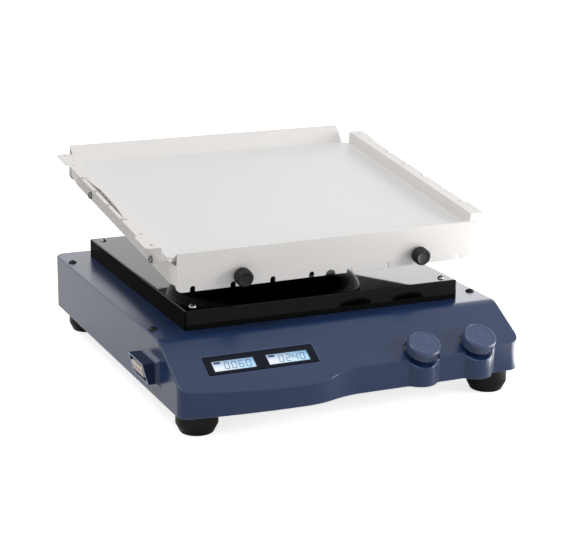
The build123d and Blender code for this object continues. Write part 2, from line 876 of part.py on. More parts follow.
# Carrier: a bowl with a bearing boss, turned in one piece about the tray's axis
disc_top = tray_level + floor_top - sheet - support_sheet
disc_bottom = disc_top - carrier_disc_thickness
bore_radius = journal_bearing_outer + turned_gap
inner_end = journal_bearing_spread / 2
outer_end = inner_end + journal_bearing_width
bearing_shoulder = journal_bearing_outer - bearing_lip
support_spots = [
    (p.position.X, p.position.Y) for p in PolarLocations(support_screw_radius, 6, 30).local_locations
]
with BuildPart() as carrier:
    with BuildSketch(front_view(platform, 0)):
        with BuildLine():
            Polyline(
                (bowl_lip_radius, bowl_bottom + bowl_wall),
                (bowl_lip_radius, bowl_bottom),
            )
            ThreePointArc(
                (bowl_lip_radius, bowl_bottom),
                (
                    bowl_lip_radius + bowl_outer_bend[0] * (bowl_radius - bowl_lip_radius),
                    bowl_bottom + bowl_outer_bend[1] * (bowl_bend_height - bowl_bottom),
                ),
                (bowl_radius, bowl_bend_height),
            )
            Polyline(
                (bowl_radius, bowl_bend_height),
                (bowl_radius, disc_top),
                (bore_radius, disc_top),
                (bore_radius, inner_end),
                (bearing_shoulder, inner_end),
                (bearing_shoulder, -inner_end),
                (bore_radius, -inner_end),
                (bore_radius, carrier_boss_bottom),
                (carrier_boss_radius, carrier_boss_bottom),
                (carrier_boss_radius, disc_bottom),
                (bowl_radius - bowl_wall, disc_bottom),
                (bowl_radius - bowl_wall, bowl_bend_height),
            )
            ThreePointArc(
                (bowl_radius - bowl_wall, bowl_bend_height),
                (
                    bowl_lip_radius + bowl_inner_bend[0] * (bowl_radius - bowl_lip_radius),
                    bowl_bottom + bowl_wall + bowl_inner_bend[1] * (bowl_bend_height - bowl_bottom),
                ),
                (bowl_lip_radius, bowl_bottom + bowl_wall),
            )
        make_face()
    revolve(axis=Axis(platform.origin, platform.z_dir))
    for z in (outer_end, -outer_end - circlip_thickness):
        with BuildSketch(platform.offset(z)):
            Circle(bore_radius + circlip_depth)
        extrude(amount=circlip_thickness, mode=Mode.SUBTRACT)
    with BuildSketch(front_view(platform, carrier_boss_radius)):
        Circle(pin_radius + turned_gap)
    extrude(amount=pin_depth, mode=Mode.SUBTRACT)
    with BuildSketch(platform.offset(disc_top)):
        with Locations(*support_spots):
            Circle(m4[0] + thread_gap)
    extrude(amount=-carrier_disc_thickness, mode=Mode.SUBTRACT)
save(carrier, "carrier")

carrier_bearings = bearing(
    [platform.offset(inner_end), platform.offset(-outer_end)],
    journal_radius,
    journal_bearing_outer,
    journal_bearing_width,
)
save(carrier_bearings, "carrier_bearings")

with BuildPart() as bore_circlips:
    for z in (outer_end, -outer_end - circlip_thickness):
        with BuildSketch(platform.offset(z)):
            Circle(bore_radius + circlip_depth - turned_gap)
            Circle(journal_bearing_outer - circlip_depth, mode=Mode.SUBTRACT)
        extrude(amount=circlip_thickness)
save(bore_circlips, "bore_circlips")

# Guide pin, pressed into the boss, with a roller that runs in the fixed fork
roller_inner_end = roller_distance - roller_length / 2
roller_outer_end = roller_distance + roller_length / 2
pin_shoulder = pin_radius + sheet
with BuildPart() as guide_pin:
    with BuildSketch(side_view(platform, 0)):
        with BuildLine():
            Polyline(
                (carrier_boss_radius - pin_depth + turned_gap, 0),
                (carrier_boss_radius - pin_depth + turned_gap, pin_radius),
                (carrier_boss_radius, pin_radius),
                (carrier_boss_radius, pin_shoulder),
                (roller_inner_end - hole_gap, pin_shoulder),
                (roller_inner_end - hole_gap, pin_radius),
                (roller_outer_end + hole_gap, pin_radius),
                (roller_outer_end + hole_gap, pin_shoulder),
                (roller_outer_end + hole_gap + sheet, pin_shoulder),
                (roller_outer_end + hole_gap + sheet, 0),
                close=True,
            )
        make_face()
    revolve(axis=Axis(platform.origin, platform.y_dir))
save(guide_pin, "guide_pin")

guide_roller = ring(
    front_view(platform, roller_outer_end), pin_radius + turned_gap, roller_radius, roller_length
)
save(guide_roller, "guide_roller")

guide = Plane(axis_plane.location * Location((0, 0, 0), (0, 0, tray_yaw)))
fork_outer_x = roller_radius + fork_play + fork_tine
with BuildPart() as guide_fork:
    with BuildSketch(guide.offset(fork_ring_bottom)):
        Circle(neck_radius + fork_ring_width)
        with Locations((0, (roller_distance + fork_depth / 2) / 2)):
            Rectangle(2 * fork_outer_x, roller_distance + fork_depth / 2)
        Circle(neck_radius + turned_gap, mode=Mode.SUBTRACT)
    extrude(amount=fork_ring_height)
    with BuildSketch(guide.offset(fork_ring_bottom)):
        for side in (-1, 1):
            with Locations((side * (fork_outer_x - fork_tine / 2), roller_distance)):
                Rectangle(fork_tine, fork_depth)
    extrude(amount=fork_top - fork_ring_bottom)
save(guide_fork, "guide_fork")


def flat_screws(plane, spots, thread, length):
    """Countersunk screws whose heads end flush with the plane."""
    shank, head, _ = thread
    with BuildPart() as screws:
        for x, y in spots:
            spot = Plane(plane.from_local_coords((x, y, 0)), x_dir=plane.x_dir, z_dir=plane.z_dir)
            with BuildSketch(side_view(spot, 0)):
                with BuildLine():
                    Polyline(
                        (0, 0),
                        (head, 0),
                        (shank - thread_gap, -flat_head_height),
                        (shank - thread_gap, -length),
                        (0, -length),
                        close=True,
                    )
                make_face()
            revolve(axis=Axis(spot.origin, spot.z_dir))
    return screws


# Support plate: a channel with deep skirts at the sides and a flange at the front and back
support_top = floor_top - sheet
with BuildPart() as support_plate:
    with BuildSketch(tray_base.offset(support_top)):
        Rectangle(2 * skirt_x, 2 * support_flange_y)
    extrude(amount=-support_sheet)
    for x in (-skirt_x, skirt_x - support_sheet):
        with BuildSketch(side_view(tray_base, x)):
            with BuildLine():
                Polyline(
                    (-skirt_y, support_top),
                    (skirt_y, support_top),
                    (skirt_y, skirt_bottom + skirt_taper_height),
                    (skirt_y - skirt_taper_length, skirt_bottom),
                    (skirt_taper_length - skirt_y, skirt_bottom),
                    (-skirt_y, skirt_bottom + skirt_taper_height),
                    close=True,
                )
            make_face()
        extrude(amount=support_sheet)
    for y in (-support_flange_y, support_flange_y - support_sheet):
        with BuildSketch(front_view(tray_base, y)):
            with Locations((0, (support_top + support_flange_bottom) / 2)):
                Rectangle(2 * support_flange_x, support_top - support_flange_bottom)
        extrude(amount=-support_sheet)
    with BuildSketch(tray_base.offset(support_top)):
        Circle(bore_radius)
    extrude(amount=-support_sheet, mode=Mode.SUBTRACT)
    for x, y in support_spots:
        spot = Plane(tray_base.from_local_coords((x, y, support_top)), tray_base.x_dir, tray_base.z_dir)
        with BuildSketch(side_view(spot, 0)):
            with BuildLine():
                Polyline(
                    (0, 0),
                    (m4[1] + thread_gap, 0),
                    (m4[0], -flat_head_height),
                    (m4[0], -2 * support_sheet),
                    (0, -2 * support_sheet),
                    close=True,
                )
            make_face()
        revolve(axis=Axis(spot.origin, spot.z_dir), mode=Mode.SUBTRACT)
    with BuildSketch(side_view(tray_base, -skirt_x)):
        with Locations(*[(y, skirt_screw_z) for y in (-skirt_screw_y, skirt_screw_y)]):
            Circle(m4[0])
    extrude(amount=2 * skirt_x, mode=Mode.SUBTRACT)
save(support_plate, "support_plate")

support_screws = flat_screws(
    tray_base.offset(support_top), support_spots, m4, support_sheet + carrier_disc_thickness
)
save(support_screws, "support_screws")

# Bright screws in the skirts
right_skirt = side_view(tray_base, skirt_x)
left_skirt = Plane(
    right_skirt.offset(-2 * skirt_x).origin, x_dir=-right_skirt.x_dir, z_dir=-right_skirt.z_dir
)
with BuildPart() as skirt_screws:
    for skirt in (left_skirt, right_skirt):
        spots = [(y, skirt_screw_z) for y in (-skirt_screw_y, skirt_screw_y)]
        add(fasteners(skirt, spots, m4, skirt_screw_length).part)
save(skirt_screws, "skirt_screws")

# Tray: one folded sheet, with a sloping gutter and a deep flange at the front and back
with BuildPart() as tray:
    with BuildSketch(side_view(tray_base, 0)):
        with BuildLine():
            Polyline(
                (-flange_y, flange_bottom),
                (-flange_y, flange_top),
                (gutter_ridge - flange_y, flange_top),
                (-gutter_y, floor_top),
                (gutter_y, floor_top),
                (flange_y - gutter_ridge, flange_top),
                (flange_y, flange_top),
                (flange_y, flange_bottom),
            )
            offset(amount=sheet, side=Side.RIGHT, kind=Kind.INTERSECTION)
        make_face()
    extrude(amount=flange_x, both=True)
    with BuildSketch(front_view(tray_base, 0)):
        for side in (-1, 1):
            with Locations((side * (flange_x + wall_inner_x + sheet) / 2, floor_top - sheet / 2)):
                Rectangle(wall_inner_x + sheet - flange_x, sheet)
            with Locations((side * (wall_inner_x + sheet / 2), (floor_top - sheet + wall_top) / 2)):
                Rectangle(sheet, wall_top - floor_top + sheet)
            with Locations((side * (wall_inner_x + lip_x) / 2, wall_top - sheet / 2)):
                Rectangle(lip_x - wall_inner_x, sheet)
    extrude(amount=wall_length / 2, both=True)
    with BuildSketch(tray_base.offset(wall_top)):
        for sx in (-1, 1):
            for sy in (-1, 1):
                ear_middle = ((ear_x + wall_inner_x) / 2, (ear_inner_y + ear_outer_y) / 2)
                with Locations((sx * ear_middle[0], sy * ear_middle[1])):
                    RectangleRounded(ear_x - wall_inner_x, ear_outer_y - ear_inner_y, ear_corner)
    extrude(amount=-sheet)
    lip_notches = [k * lip_notch_pitch / 2 for k in (-5, -3, -1, 1, 3, 5)]
    with BuildSketch(tray_base.offset(wall_top)):
        with Locations(*[(sx * lip_x, y) for sx in (-1, 1) for y in lip_notches[1:-1]]):
            Rectangle(2 * lip_notch_depth, lip_notch_width)
        with Locations(*[(sx * lip_hole_x, y) for sx in (-1, 1) for y in lip_notches]):
            Circle(lip_hole_radius)
        with Locations(*[(sx * lip_hole_x, sy * slot_y) for sx in (-1, 1) for sy in (-1, 1)]):
            SlotOverall(slot_length, slot_width, rotation=90)
    extrude(amount=-2 * sheet, mode=Mode.SUBTRACT)
    flange_corners = at_height(tray.edges(), tray_base, flange_bottom).filter_by(
        lambda e: abs(abs(tray_base.to_local_coords(e.center()).X) - flange_x) < 0.01
    )
    fillet(flange_corners, flange_corner)
    with BuildSketch(front_view(tray_base, -flange_y)):
        notches = [side * notch_pitch * (k + 0.5) for side in (-1, 1) for k in range(4)]
        with Locations(*[(x, flange_bottom) for x in notches]):
            Rectangle(notch_width, 2 * notch_height - notch_width)
        with Locations(*[(x, flange_bottom + notch_height - notch_width / 2) for x in notches]):
            Circle(notch_width / 2)
        with Locations((0, flange_bottom)):
            Circle(middle_notch_radius)
    extrude(amount=-2 * flange_y, mode=Mode.SUBTRACT)
    with BuildSketch(front_view(tray_base, -flange_y)):
        with Locations((-thumb_x, thumb_z), (thumb_x, thumb_z)):
            Circle(m5[0] + hole_gap)
    extrude(amount=-2 * sheet, mode=Mode.SUBTRACT)
save(tray, "tray")

with BuildPart() as tray_mat:
    with BuildSketch(tray_base.offset(floor_top)):
        RectangleRounded(2 * (wall_inner_x - mat_margin), 2 * (gutter_y - mat_margin), 2 * sheet)
    extrude(amount=mat_thickness)
save(tray_mat, "tray_mat")

# Thumb screws through the front flange, each with a washer outside and a weld nut inside
flange_front = front_view(tray_base, -flange_y)
with BuildPart() as weld_nuts:
    with BuildSketch(flange_front.offset(-sheet)):
        with Locations((-thumb_x, thumb_z), (thumb_x, thumb_z)):
            Circle(weld_nut_radius)
            Circle(m5[0] + turned_gap, mode=Mode.SUBTRACT)
    extrude(amount=-weld_nut_height)
save(weld_nuts, "weld_nuts")

for side, x in (("left", -thumb_x), ("right", thumb_x)):
    spot = Plane(
        flange_front.from_local_coords((x, thumb_z, 0)), x_dir=flange_front.x_dir, z_dir=flange_front.z_dir
    )
    washer = ring(spot, m5[0] + turned_gap, washer_radius, washer_thickness)
    save(washer, f"{side}_washer")
    with BuildPart() as thumb_screw:
        with BuildSketch(spot.offset(support_flange_y + tip_gap - flange_y)):
            Circle(m5[0] - turned_gap / 2)
        extrude(amount=flange_y - support_flange_y - tip_gap + washer_thickness)
        with BuildSketch(spot.offset(washer_thickness)):
            Circle(thumb_neck_radius)
        extrude(amount=thumb_neck)
        with BuildSketch(spot.offset(washer_thickness + thumb_neck)):
            Circle(thumb_radius)
        extrude(amount=thumb_length - washer_thickness - thumb_neck)
        chamfer(at_height(thumb_screw.faces(), spot, thumb_length).edges(), thumb_edge)
        with BuildSketch(spot.offset(washer_thickness + thumb_neck)):
            with PolarLocations(thumb_radius, thumb_grips):
                Circle(thumb_grip_radius)
        extrude(amount=thumb_length, mode=Mode.SUBTRACT)
    save(thumb_screw, f"{side}_thumb_screw")

# Push-and-turn controls: encoder under the panel, nut in the recess, spindle and ribbed knob
for name, x in zip(("speed", "time"), knob_spots):
    spot = Plane(panel.from_local_coords((x, -knob_down, 0)), x_dir=panel.x_dir, z_dir=panel.z_dir)
    with BuildPart() as encoder:
        with BuildSketch(spot.offset(-panel_wall)):
            Rectangle(encoder_size, encoder_size)
        extrude(amount=-encoder_height)
        with BuildSketch(spot.offset(-panel_wall)):
            Circle(bush_radius)
        extrude(amount=panel_wall + bush_top)
        with BuildSketch(spot.offset(bush_top)):
            Circle(spindle_radius + turned_gap)
        extrude(amount=-(panel_wall + bush_top + encoder_height - spindle_end_gap), mode=Mode.SUBTRACT)
    save(encoder, f"{name}_encoder")
    with BuildPart() as spindle:
        spindle_bottom = spindle_end_gap + spindle_travel + turned_gap - panel_wall - encoder_height
        with BuildSketch(spot.offset(spindle_bottom)):
            Circle(spindle_radius)
        extrude(amount=knob_top - knob_wall - 2 * spindle_end_gap - spindle_bottom)
    save(spindle, f"{name}_spindle")
    with BuildPart() as knob:
        with BuildSketch(spot.offset(knob_bottom)):
            Circle(knob_radius)
        extrude(amount=knob_top - knob_bottom)
        fillet(at_height(knob.faces(), spot, knob_top).edges(), knob_round)
        with BuildSketch(spot.offset(knob_bottom)):
            Circle(knob_radius - knob_wall)
        extrude(amount=knob_top - knob_bottom - knob_wall, mode=Mode.SUBTRACT)
        with BuildSketch(spot.offset(bush_top + spindle_travel + hole_gap)):
            Circle(knob_boss_radius)
        extrude(amount=knob_top - knob_wall - bush_top - spindle_travel - hole_gap)
        with BuildSketch(spot):
            Circle(spindle_radius + turned_gap)
        extrude(amount=knob_top - knob_wall - spindle_end_gap, mode=Mode.SUBTRACT)
        with BuildSketch(spot.offset(knob_bottom)):
            with PolarLocations(knob_radius, knob_ribs):
                Circle(knob_rib_depth)
        extrude(amount=knob_top - knob_bottom - knob_band, mode=Mode.SUBTRACT)
    save(knob, f"{name}_knob")

with BuildPart() as encoder_nuts:
    with BuildSketch(panel.offset(-recess_depth)):
        with Locations(*[(x, -knob_down) for x in knob_spots]):
            RegularPolygon(nut_radius, 6)
            Circle(bush_radius + thread_gap, mode=Mode.SUBTRACT)
    extrude(amount=nut_height)
save(encoder_nuts, "encoder_nuts")

# Display: dark bezel in a shallow recess, two liquid crystal modules and their board
lcd_spots = [(lcd_middle_x + side * lcd_pitch / 2, -lcd_down) for side in (-1, 1)]
with BuildPart() as display_bezel:
    with BuildSketch(panel.offset(bezel_proud)):
        with Locations((bezel_x, -bezel_down)):
            RectangleRounded(bezel_width, bezel_height, bezel_corner)
        with Locations(*lcd_spots):
            Rectangle(lcd_width, lcd_height, mode=Mode.SUBTRACT)
    extrude(amount=-bezel_thickness)
save(display_bezel, "display_bezel")

for name, spot in zip(("left", "right"), lcd_spots):
    with BuildPart() as lcd:
        with BuildSketch(panel):
            with Locations(spot):
                Rectangle(lcd_width - 2 * thread_gap, lcd_height - 2 * thread_gap)
        extrude(amount=-panel_wall)
    save(lcd, f"{name}_lcd")

with BuildPart() as display_board:
    with BuildSketch(panel.offset(-panel_wall)):
        with Locations((bezel_x, -bezel_down)):
            Rectangle(bezel_width + display_board_margin, bezel_height + display_board_margin)
    extrude(amount=-board_thickness)
save(display_board, "display_board")

# Power switch: body in the hood, a rocker on trunnions and a faceted soft boot over it
flange_level = sheet - switch_pocket_depth
frame_length = switch_length - 2 * hole_gap
frame_height = switch_height - 2 * hole_gap
rocker_window = (rocker_length + 2 * window_play, rocker_height + 2 * window_play)
with BuildPart() as switch_body:
    with BuildSketch(hood_face.offset(-switch_pocket_depth)):
        Rectangle(frame_length, frame_height)
    extrude(amount=sheet)
    with BuildSketch(hood_face.offset(-switch_pocket_depth)):
        Rectangle(frame_length - 2 * switch_rim, frame_height - 2 * switch_rim)
    extrude(amount=-switch_body_depth)
    with BuildSketch(hood_face.offset(flange_level)):
        Rectangle(*rocker_window)
    extrude(amount=-window_depth, mode=Mode.SUBTRACT)
    with BuildSketch(front_view(hood_face, 0)):
        with Locations((0, -rocker_pivot_depth)):
            Circle(trunnion_radius + turned_gap)
    extrude(amount=rocker_window[1] / 2 + trunnion_length, both=True, mode=Mode.SUBTRACT)
save(switch_body, "switch_body")

rocker_plane = Plane(
    hood_face.location * Location((0, 0, -rocker_pivot_depth)) * Location((0, 0, 0), (0, rocker_tilt, 0))
)
with BuildPart() as rocker:
    with BuildSketch(front_view(rocker_plane, 0)):
        with BuildLine():
            Polyline(
                (-rocker_length / 2, rocker_rise),
                (0, rocker_rise - rocker_dip),
                (rocker_length / 2, rocker_rise),
                (rocker_length / 2, rocker_rise - rocker_drop),
                (0, rocker_rise - rocker_drop - rocker_dip),
                (-rocker_length / 2, rocker_rise - rocker_drop),
                close=True,
            )
        make_face()
    extrude(amount=rocker_height / 2, both=True)
    with BuildSketch(front_view(rocker_plane, 0)):
        Circle(trunnion_radius)
    extrude(amount=rocker_window[1] / 2 + trunnion_length - hole_gap, both=True)
save(rocker, "rocker")

with BuildPart() as rocker_boot:
    with BuildSketch(hood_face.offset(flange_level)):
        Rectangle(frame_length - 2 * boot_edge, frame_height - 2 * boot_edge)
    extrude(amount=boot_height, taper=boot_taper)
    with BuildSketch(hood_face.offset(flange_level)):
        Rectangle(rocker_window[0] + 2 * boot_edge, rocker_window[1] + boot_edge)
    extrude(amount=boot_height - boot_wall, taper=boot_inner_taper, mode=Mode.SUBTRACT)
save(rocker_boot, "rocker_boot")

# Mains inlet in the rear wall, with three blades in its socket and a small fuse drawer
with BuildPart() as mains_inlet:
    with BuildSketch(inlet_plane):
        RectangleRounded(inlet_width, inlet_height, inlet_corner)
    extrude(amount=inlet_flange)
    with BuildSketch(inlet_plane):
        Rectangle(inlet_width - 8 * hole_gap - 2 * wall, inlet_height - 2 * hole_gap - 2 * wall)
    extrude(amount=-inlet_depth)
    with BuildSketch(inlet_plane.offset(inlet_flange)):
        with Locations((inlet_socket_shift, 0)):
            Rectangle(inlet_socket_width, inlet_socket_height)
    extrude(amount=-inlet_socket_depth, mode=Mode.SUBTRACT)
    with BuildSketch(inlet_plane.offset(inlet_flange)):
        with Locations((fuse_shift, 0)):
            Rectangle(fuse_width, fuse_height)
    extrude(amount=-(fuse_depth + end_gap), mode=Mode.SUBTRACT)
    with BuildSketch(inlet_plane.offset(inlet_flange - inlet_socket_depth)):
        blade_half = blade_size[1] / 2
        with Locations(
            (inlet_socket_shift - blade_pitch, -blade_half),
            (inlet_socket_shift, blade_half),
            (inlet_socket_shift + blade_pitch, -blade_half),
        ):
            Rectangle(*blade_size)
    extrude(amount=blade_length)
save(mains_inlet, "mains_inlet")

with BuildPart() as fuse_drawer:
    with BuildSketch(inlet_plane.offset(inlet_flange)):
        with Locations((fuse_shift, 0)):
            Rectangle(fuse_width - 2 * hole_gap, fuse_height - 2 * hole_gap)
    extrude(amount=-fuse_depth)
    with BuildSketch(inlet_plane.offset(inlet_flange)):
        with Locations((fuse_shift, fuse_height / 2 - fuse_grip_inset)):
            Rectangle(fuse_width / 2, fuse_grip)
    extrude(amount=-fuse_grip_depth, mode=Mode.SUBTRACT)
save(fuse_drawer, "fuse_drawer")

# Electronics on short standoffs above the base plate
supply_level = plate_top + standoff_height
with BuildPart() as power_supply:
    with BuildSketch(ground.offset(supply_level)):
        with Locations((supply_x, supply_y)):
            Rectangle(supply_width, supply_length)
    extrude(amount=supply_height)
    fillet(power_supply.edges().filter_by(Axis.Y).group_by(Axis.Z)[-1], supply_round)
save(power_supply, "power_supply")

with BuildPart() as control_board:
    with BuildSketch(ground.offset(supply_level)):
        with Locations((board_x, board_y)):
            Rectangle(board_width, board_depth)
    extrude(amount=board_thickness)
    with BuildSketch(ground.offset(supply_level + board_thickness)):
        with Locations((board_x - board_width / 4, board_y), (board_x + board_width / 4, board_y)):
            Rectangle(board_width / 6, board_depth / 2)
    extrude(amount=chip_height)
save(control_board, "control_board")

with BuildPart() as board_standoffs:
    with BuildSketch(ground.offset(plate_top)):
        with Locations((supply_x, supply_y)):
            with GridLocations(
                supply_width - 2 * board_standoff_inset, supply_length - 2 * board_standoff_inset, 2, 2
            ):
                Circle(board_standoff_radius)
        with Locations((board_x, board_y)):
            with GridLocations(
                board_width - 2 * board_standoff_inset, board_depth - 2 * board_standoff_inset, 2, 2
            ):
                Circle(board_standoff_radius)
    extrude(amount=standoff_height)
save(board_standoffs, "board_standoffs")
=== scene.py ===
# %% [markdown]
# # A bench shaker with a leaning tray
#
# This lesson gives every part of a laboratory shaker its real surface.

# %% Load the fixed frame
from math import cos, degrees, radians, sin

import bmesh
import bpy
from mathutils import Matrix, Vector


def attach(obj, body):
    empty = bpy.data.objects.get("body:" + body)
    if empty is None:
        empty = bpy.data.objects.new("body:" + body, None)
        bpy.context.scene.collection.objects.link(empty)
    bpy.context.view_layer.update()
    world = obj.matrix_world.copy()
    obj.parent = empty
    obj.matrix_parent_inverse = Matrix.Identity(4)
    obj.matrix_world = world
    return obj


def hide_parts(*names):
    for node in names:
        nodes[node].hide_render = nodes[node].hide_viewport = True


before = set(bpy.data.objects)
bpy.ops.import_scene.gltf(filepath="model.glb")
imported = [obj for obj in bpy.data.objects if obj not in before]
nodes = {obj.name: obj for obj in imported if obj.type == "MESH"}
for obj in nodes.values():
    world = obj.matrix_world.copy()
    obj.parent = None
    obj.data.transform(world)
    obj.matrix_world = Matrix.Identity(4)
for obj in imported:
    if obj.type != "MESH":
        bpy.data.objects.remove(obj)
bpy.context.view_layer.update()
mm = 0.001

# %% [markdown]
# The camera stands where the photographer stood. Its place and its two angles were solved from
# the corners of the base, so it looks slightly down and from the left. We could aim it with a
# constraint, but three unit vectors written into its matrix leave nothing to guess. The image
# is wider than it is high, so the lens is measured against the sensor's width.

# %% Camera
camera_place = Vector((-645.3, -1460.0, 534.1)) * mm
heading = radians(24.18)
look_down = radians(15.16)
roll = radians(0.56)
lens = 98.8
sensor_width = 36.0

forward = Vector((sin(heading) * cos(look_down), cos(heading) * cos(look_down), -sin(look_down)))
level = Vector((cos(heading), -sin(heading), 0))
upward = level.cross(forward)
right_hand = level * cos(roll) + upward * sin(roll)
upward = upward * cos(roll) - level * sin(roll)

camera = bpy.data.objects.new("camera", bpy.data.cameras.new("camera"))
camera.data.lens = lens
camera.data.sensor_fit = "HORIZONTAL"
camera.data.sensor_width = sensor_width
camera.data.clip_end = 50.0
turn = Matrix((right_hand, upward, -forward)).transposed()
camera.matrix_world = Matrix.LocRotScale(camera_place, turn, None)
bpy.context.scene.collection.objects.link(camera)
bpy.context.scene.camera = camera
print("camera at", tuple(round(c, 3) for c in camera_place))

# %% [markdown]
# Colours are picked in sRGB, as a screen shows them, but a shader adds up light, so it needs
# them linear. One function does the turning. A second small function adds a node to a tree with
# its settings and its links, which keeps each material down to a few lines.

# %% Two helpers for materials
def linear(code):
    """An sRGB hex colour as linear red, green, blue and an alpha of one."""
    shares = [int(code[i : i + 2], 16) / 255 for i in (0, 2, 4)]
    return [s / 12.92 if s <= 0.04045 else ((s + 0.055) / 1.055) ** 2.4 for s in shares] + [1.0]


def add(tree, kind, settings=None, links=None):
    """Adds one node; settings name sockets or properties, links name sockets and their sources."""
    node = tree.nodes.new(kind)
    for key, value in (settings or {}).items():
        if isinstance(key, str) and hasattr(node, key):
            setattr(node, key, value)
        else:
            node.inputs[key].default_value = value
    for key, source in (links or {}).items():
        tree.links.new(source, node.inputs[key])
    return node


print("white is", linear("ffffff")[:3])

# %% [markdown]
# The studio is a pale floor, a white sweep all round and five soft boxes. The sky lights the
# part at a plain level, so a colour renders about as it is written. What the camera, a gloss
# coat or clear plastic sees of the world is plain white, which Light Path tells apart from the
# light that falls on the part. The floor adds white to what the camera sees of it and a little
# to what a gloss coat sees, so it nearly melts into the sweep but still holds the soft shadow.
#
# The key hangs high on the left and the fill stands low on the right. The other three are
# cards: a photographer lays white cards round a glossy product to draw bright bands on it, so
# ours light nothing by themselves and only show in reflections. Two of them lie on the floor.

# %% Floor, world and soft boxes
sky_level = 0.52
floor_lift = 0.74
gloss_lift = 0.06
floor_half = 6.0
lying_below = 0.01
soft_boxes = {  # name: (place in metres, width in metres, power in watts)
    "key": ((-0.95, -0.15, 2.0), 0.75, 15.0),
    "fill": ((0.85, -0.62, 0.32), 0.4, 5.0),
    "card_right": ((0.44, -0.15, 0.004), 0.36, 3.4),
    "card_front": ((0.43, -0.56, 0.004), 0.22, 0.6),
    "card_back": ((0.88, 1.22, 0.52), 0.6, 1.25),
}
look_at = Vector((0, 0, 0.09))

world = bpy.data.worlds.new("studio")
bpy.context.scene.world = world
world.use_nodes = True
sky = world.node_tree
sky.nodes.clear()
ray = add(sky, "ShaderNodeLightPath")
seen = add(sky, "ShaderNodeMath", {"operation": "MAXIMUM"},
           {0: ray.outputs["Is Camera Ray"], 1: ray.outputs["Is Glossy Ray"]})
seen = add(sky, "ShaderNodeMath", {"operation": "MAXIMUM"},
           {0: seen.outputs[0], 1: ray.outputs["Is Transmission Ray"]})
light = add(sky, "ShaderNodeBackground", {"Color": linear("ffffff"), "Strength": sky_level})
sweep = add(sky, "ShaderNodeBackground", {"Color": linear("ffffff"), "Strength": 1.0})
choice = add(sky, "ShaderNodeMixShader", None,
             {0: seen.outputs[0], 1: light.outputs[0], 2: sweep.outputs[0]})
add(sky, "ShaderNodeOutputWorld", None, {"Surface": choice.outputs[0]})

floor_paint = bpy.data.materials.new("matte_white_backdrop_paper")
floor_paint.use_nodes = True
paper = floor_paint.node_tree
paper.nodes.clear()
ray = add(paper, "ShaderNodeLightPath")
matte = add(paper, "ShaderNodeBsdfDiffuse", {"Color": linear("ecebe9")})
mirrored = add(paper, "ShaderNodeMath", {"operation": "MAXIMUM"},
               {0: ray.outputs["Is Glossy Ray"], 1: ray.outputs["Is Transmission Ray"]})
for_gloss = add(paper, "ShaderNodeMath", {"operation": "MULTIPLY", 1: gloss_lift},
                {0: mirrored.outputs[0]})
lift_share = add(paper, "ShaderNodeMath", {"operation": "MULTIPLY_ADD", 1: floor_lift},
                 {0: ray.outputs["Is Camera Ray"], 2: for_gloss.outputs[0]})
glow = add(paper, "ShaderNodeEmission", {"Color": linear("ffffff")},
           {"Strength": lift_share.outputs[0]})
lifted = add(paper, "ShaderNodeAddShader", None, {0: matte.outputs[0], 1: glow.outputs[0]})
add(paper, "ShaderNodeOutputMaterial", None, {"Surface": lifted.outputs[0]})

sheet = bmesh.new()
bmesh.ops.create_grid(sheet, x_segments=1, y_segments=1, size=floor_half)
floor_mesh = bpy.data.meshes.new("floor")
sheet.to_mesh(floor_mesh)
sheet.free()
floor_mesh.materials.append(floor_paint)
floor = bpy.data.objects.new("floor", floor_mesh)
bpy.context.scene.collection.objects.link(floor)

for name, (place, width, power) in soft_boxes.items():
    lamp = bpy.data.objects.new(name, bpy.data.lights.new(name, "AREA"))
    lamp.data.size = width
    lamp.data.energy = power
    lamp.location = place
    lamp.rotation_euler = (look_at - Vector(place)).to_track_quat("-Z", "Y").to_euler()
    if place[2] < lying_below:
        lamp.rotation_euler = (radians(180), 0, 0)
    lamp.visible_camera = False
    lamp.visible_diffuse = not name.startswith("card")
    bpy.context.scene.collection.objects.link(lamp)
bpy.context.scene.view_settings.view_transform = "Standard"
print("soft boxes:", ", ".join(soft_boxes))

# %% [markdown]
# Most surfaces here are a skin over a body: sprayed paint, powder coat, moulded plastic, turned
# metal. They share a recipe. A slow noise drifts the colour and the gloss, because no sprayed or
# handled surface is even, and a fine noise lifts the skin by a few thousandths of a millimetre.
# Object coordinates are in metres, so a noise of scale 1000 / size has features of that many
# millimetres. Values that are the same all over go straight on the shader's sockets. The real
# grain of powder, nylon and plated metal is a few tenths of a millimetre or less. At this
# distance it wouldn't show, so most grains here are drawn a little coarser than they are.

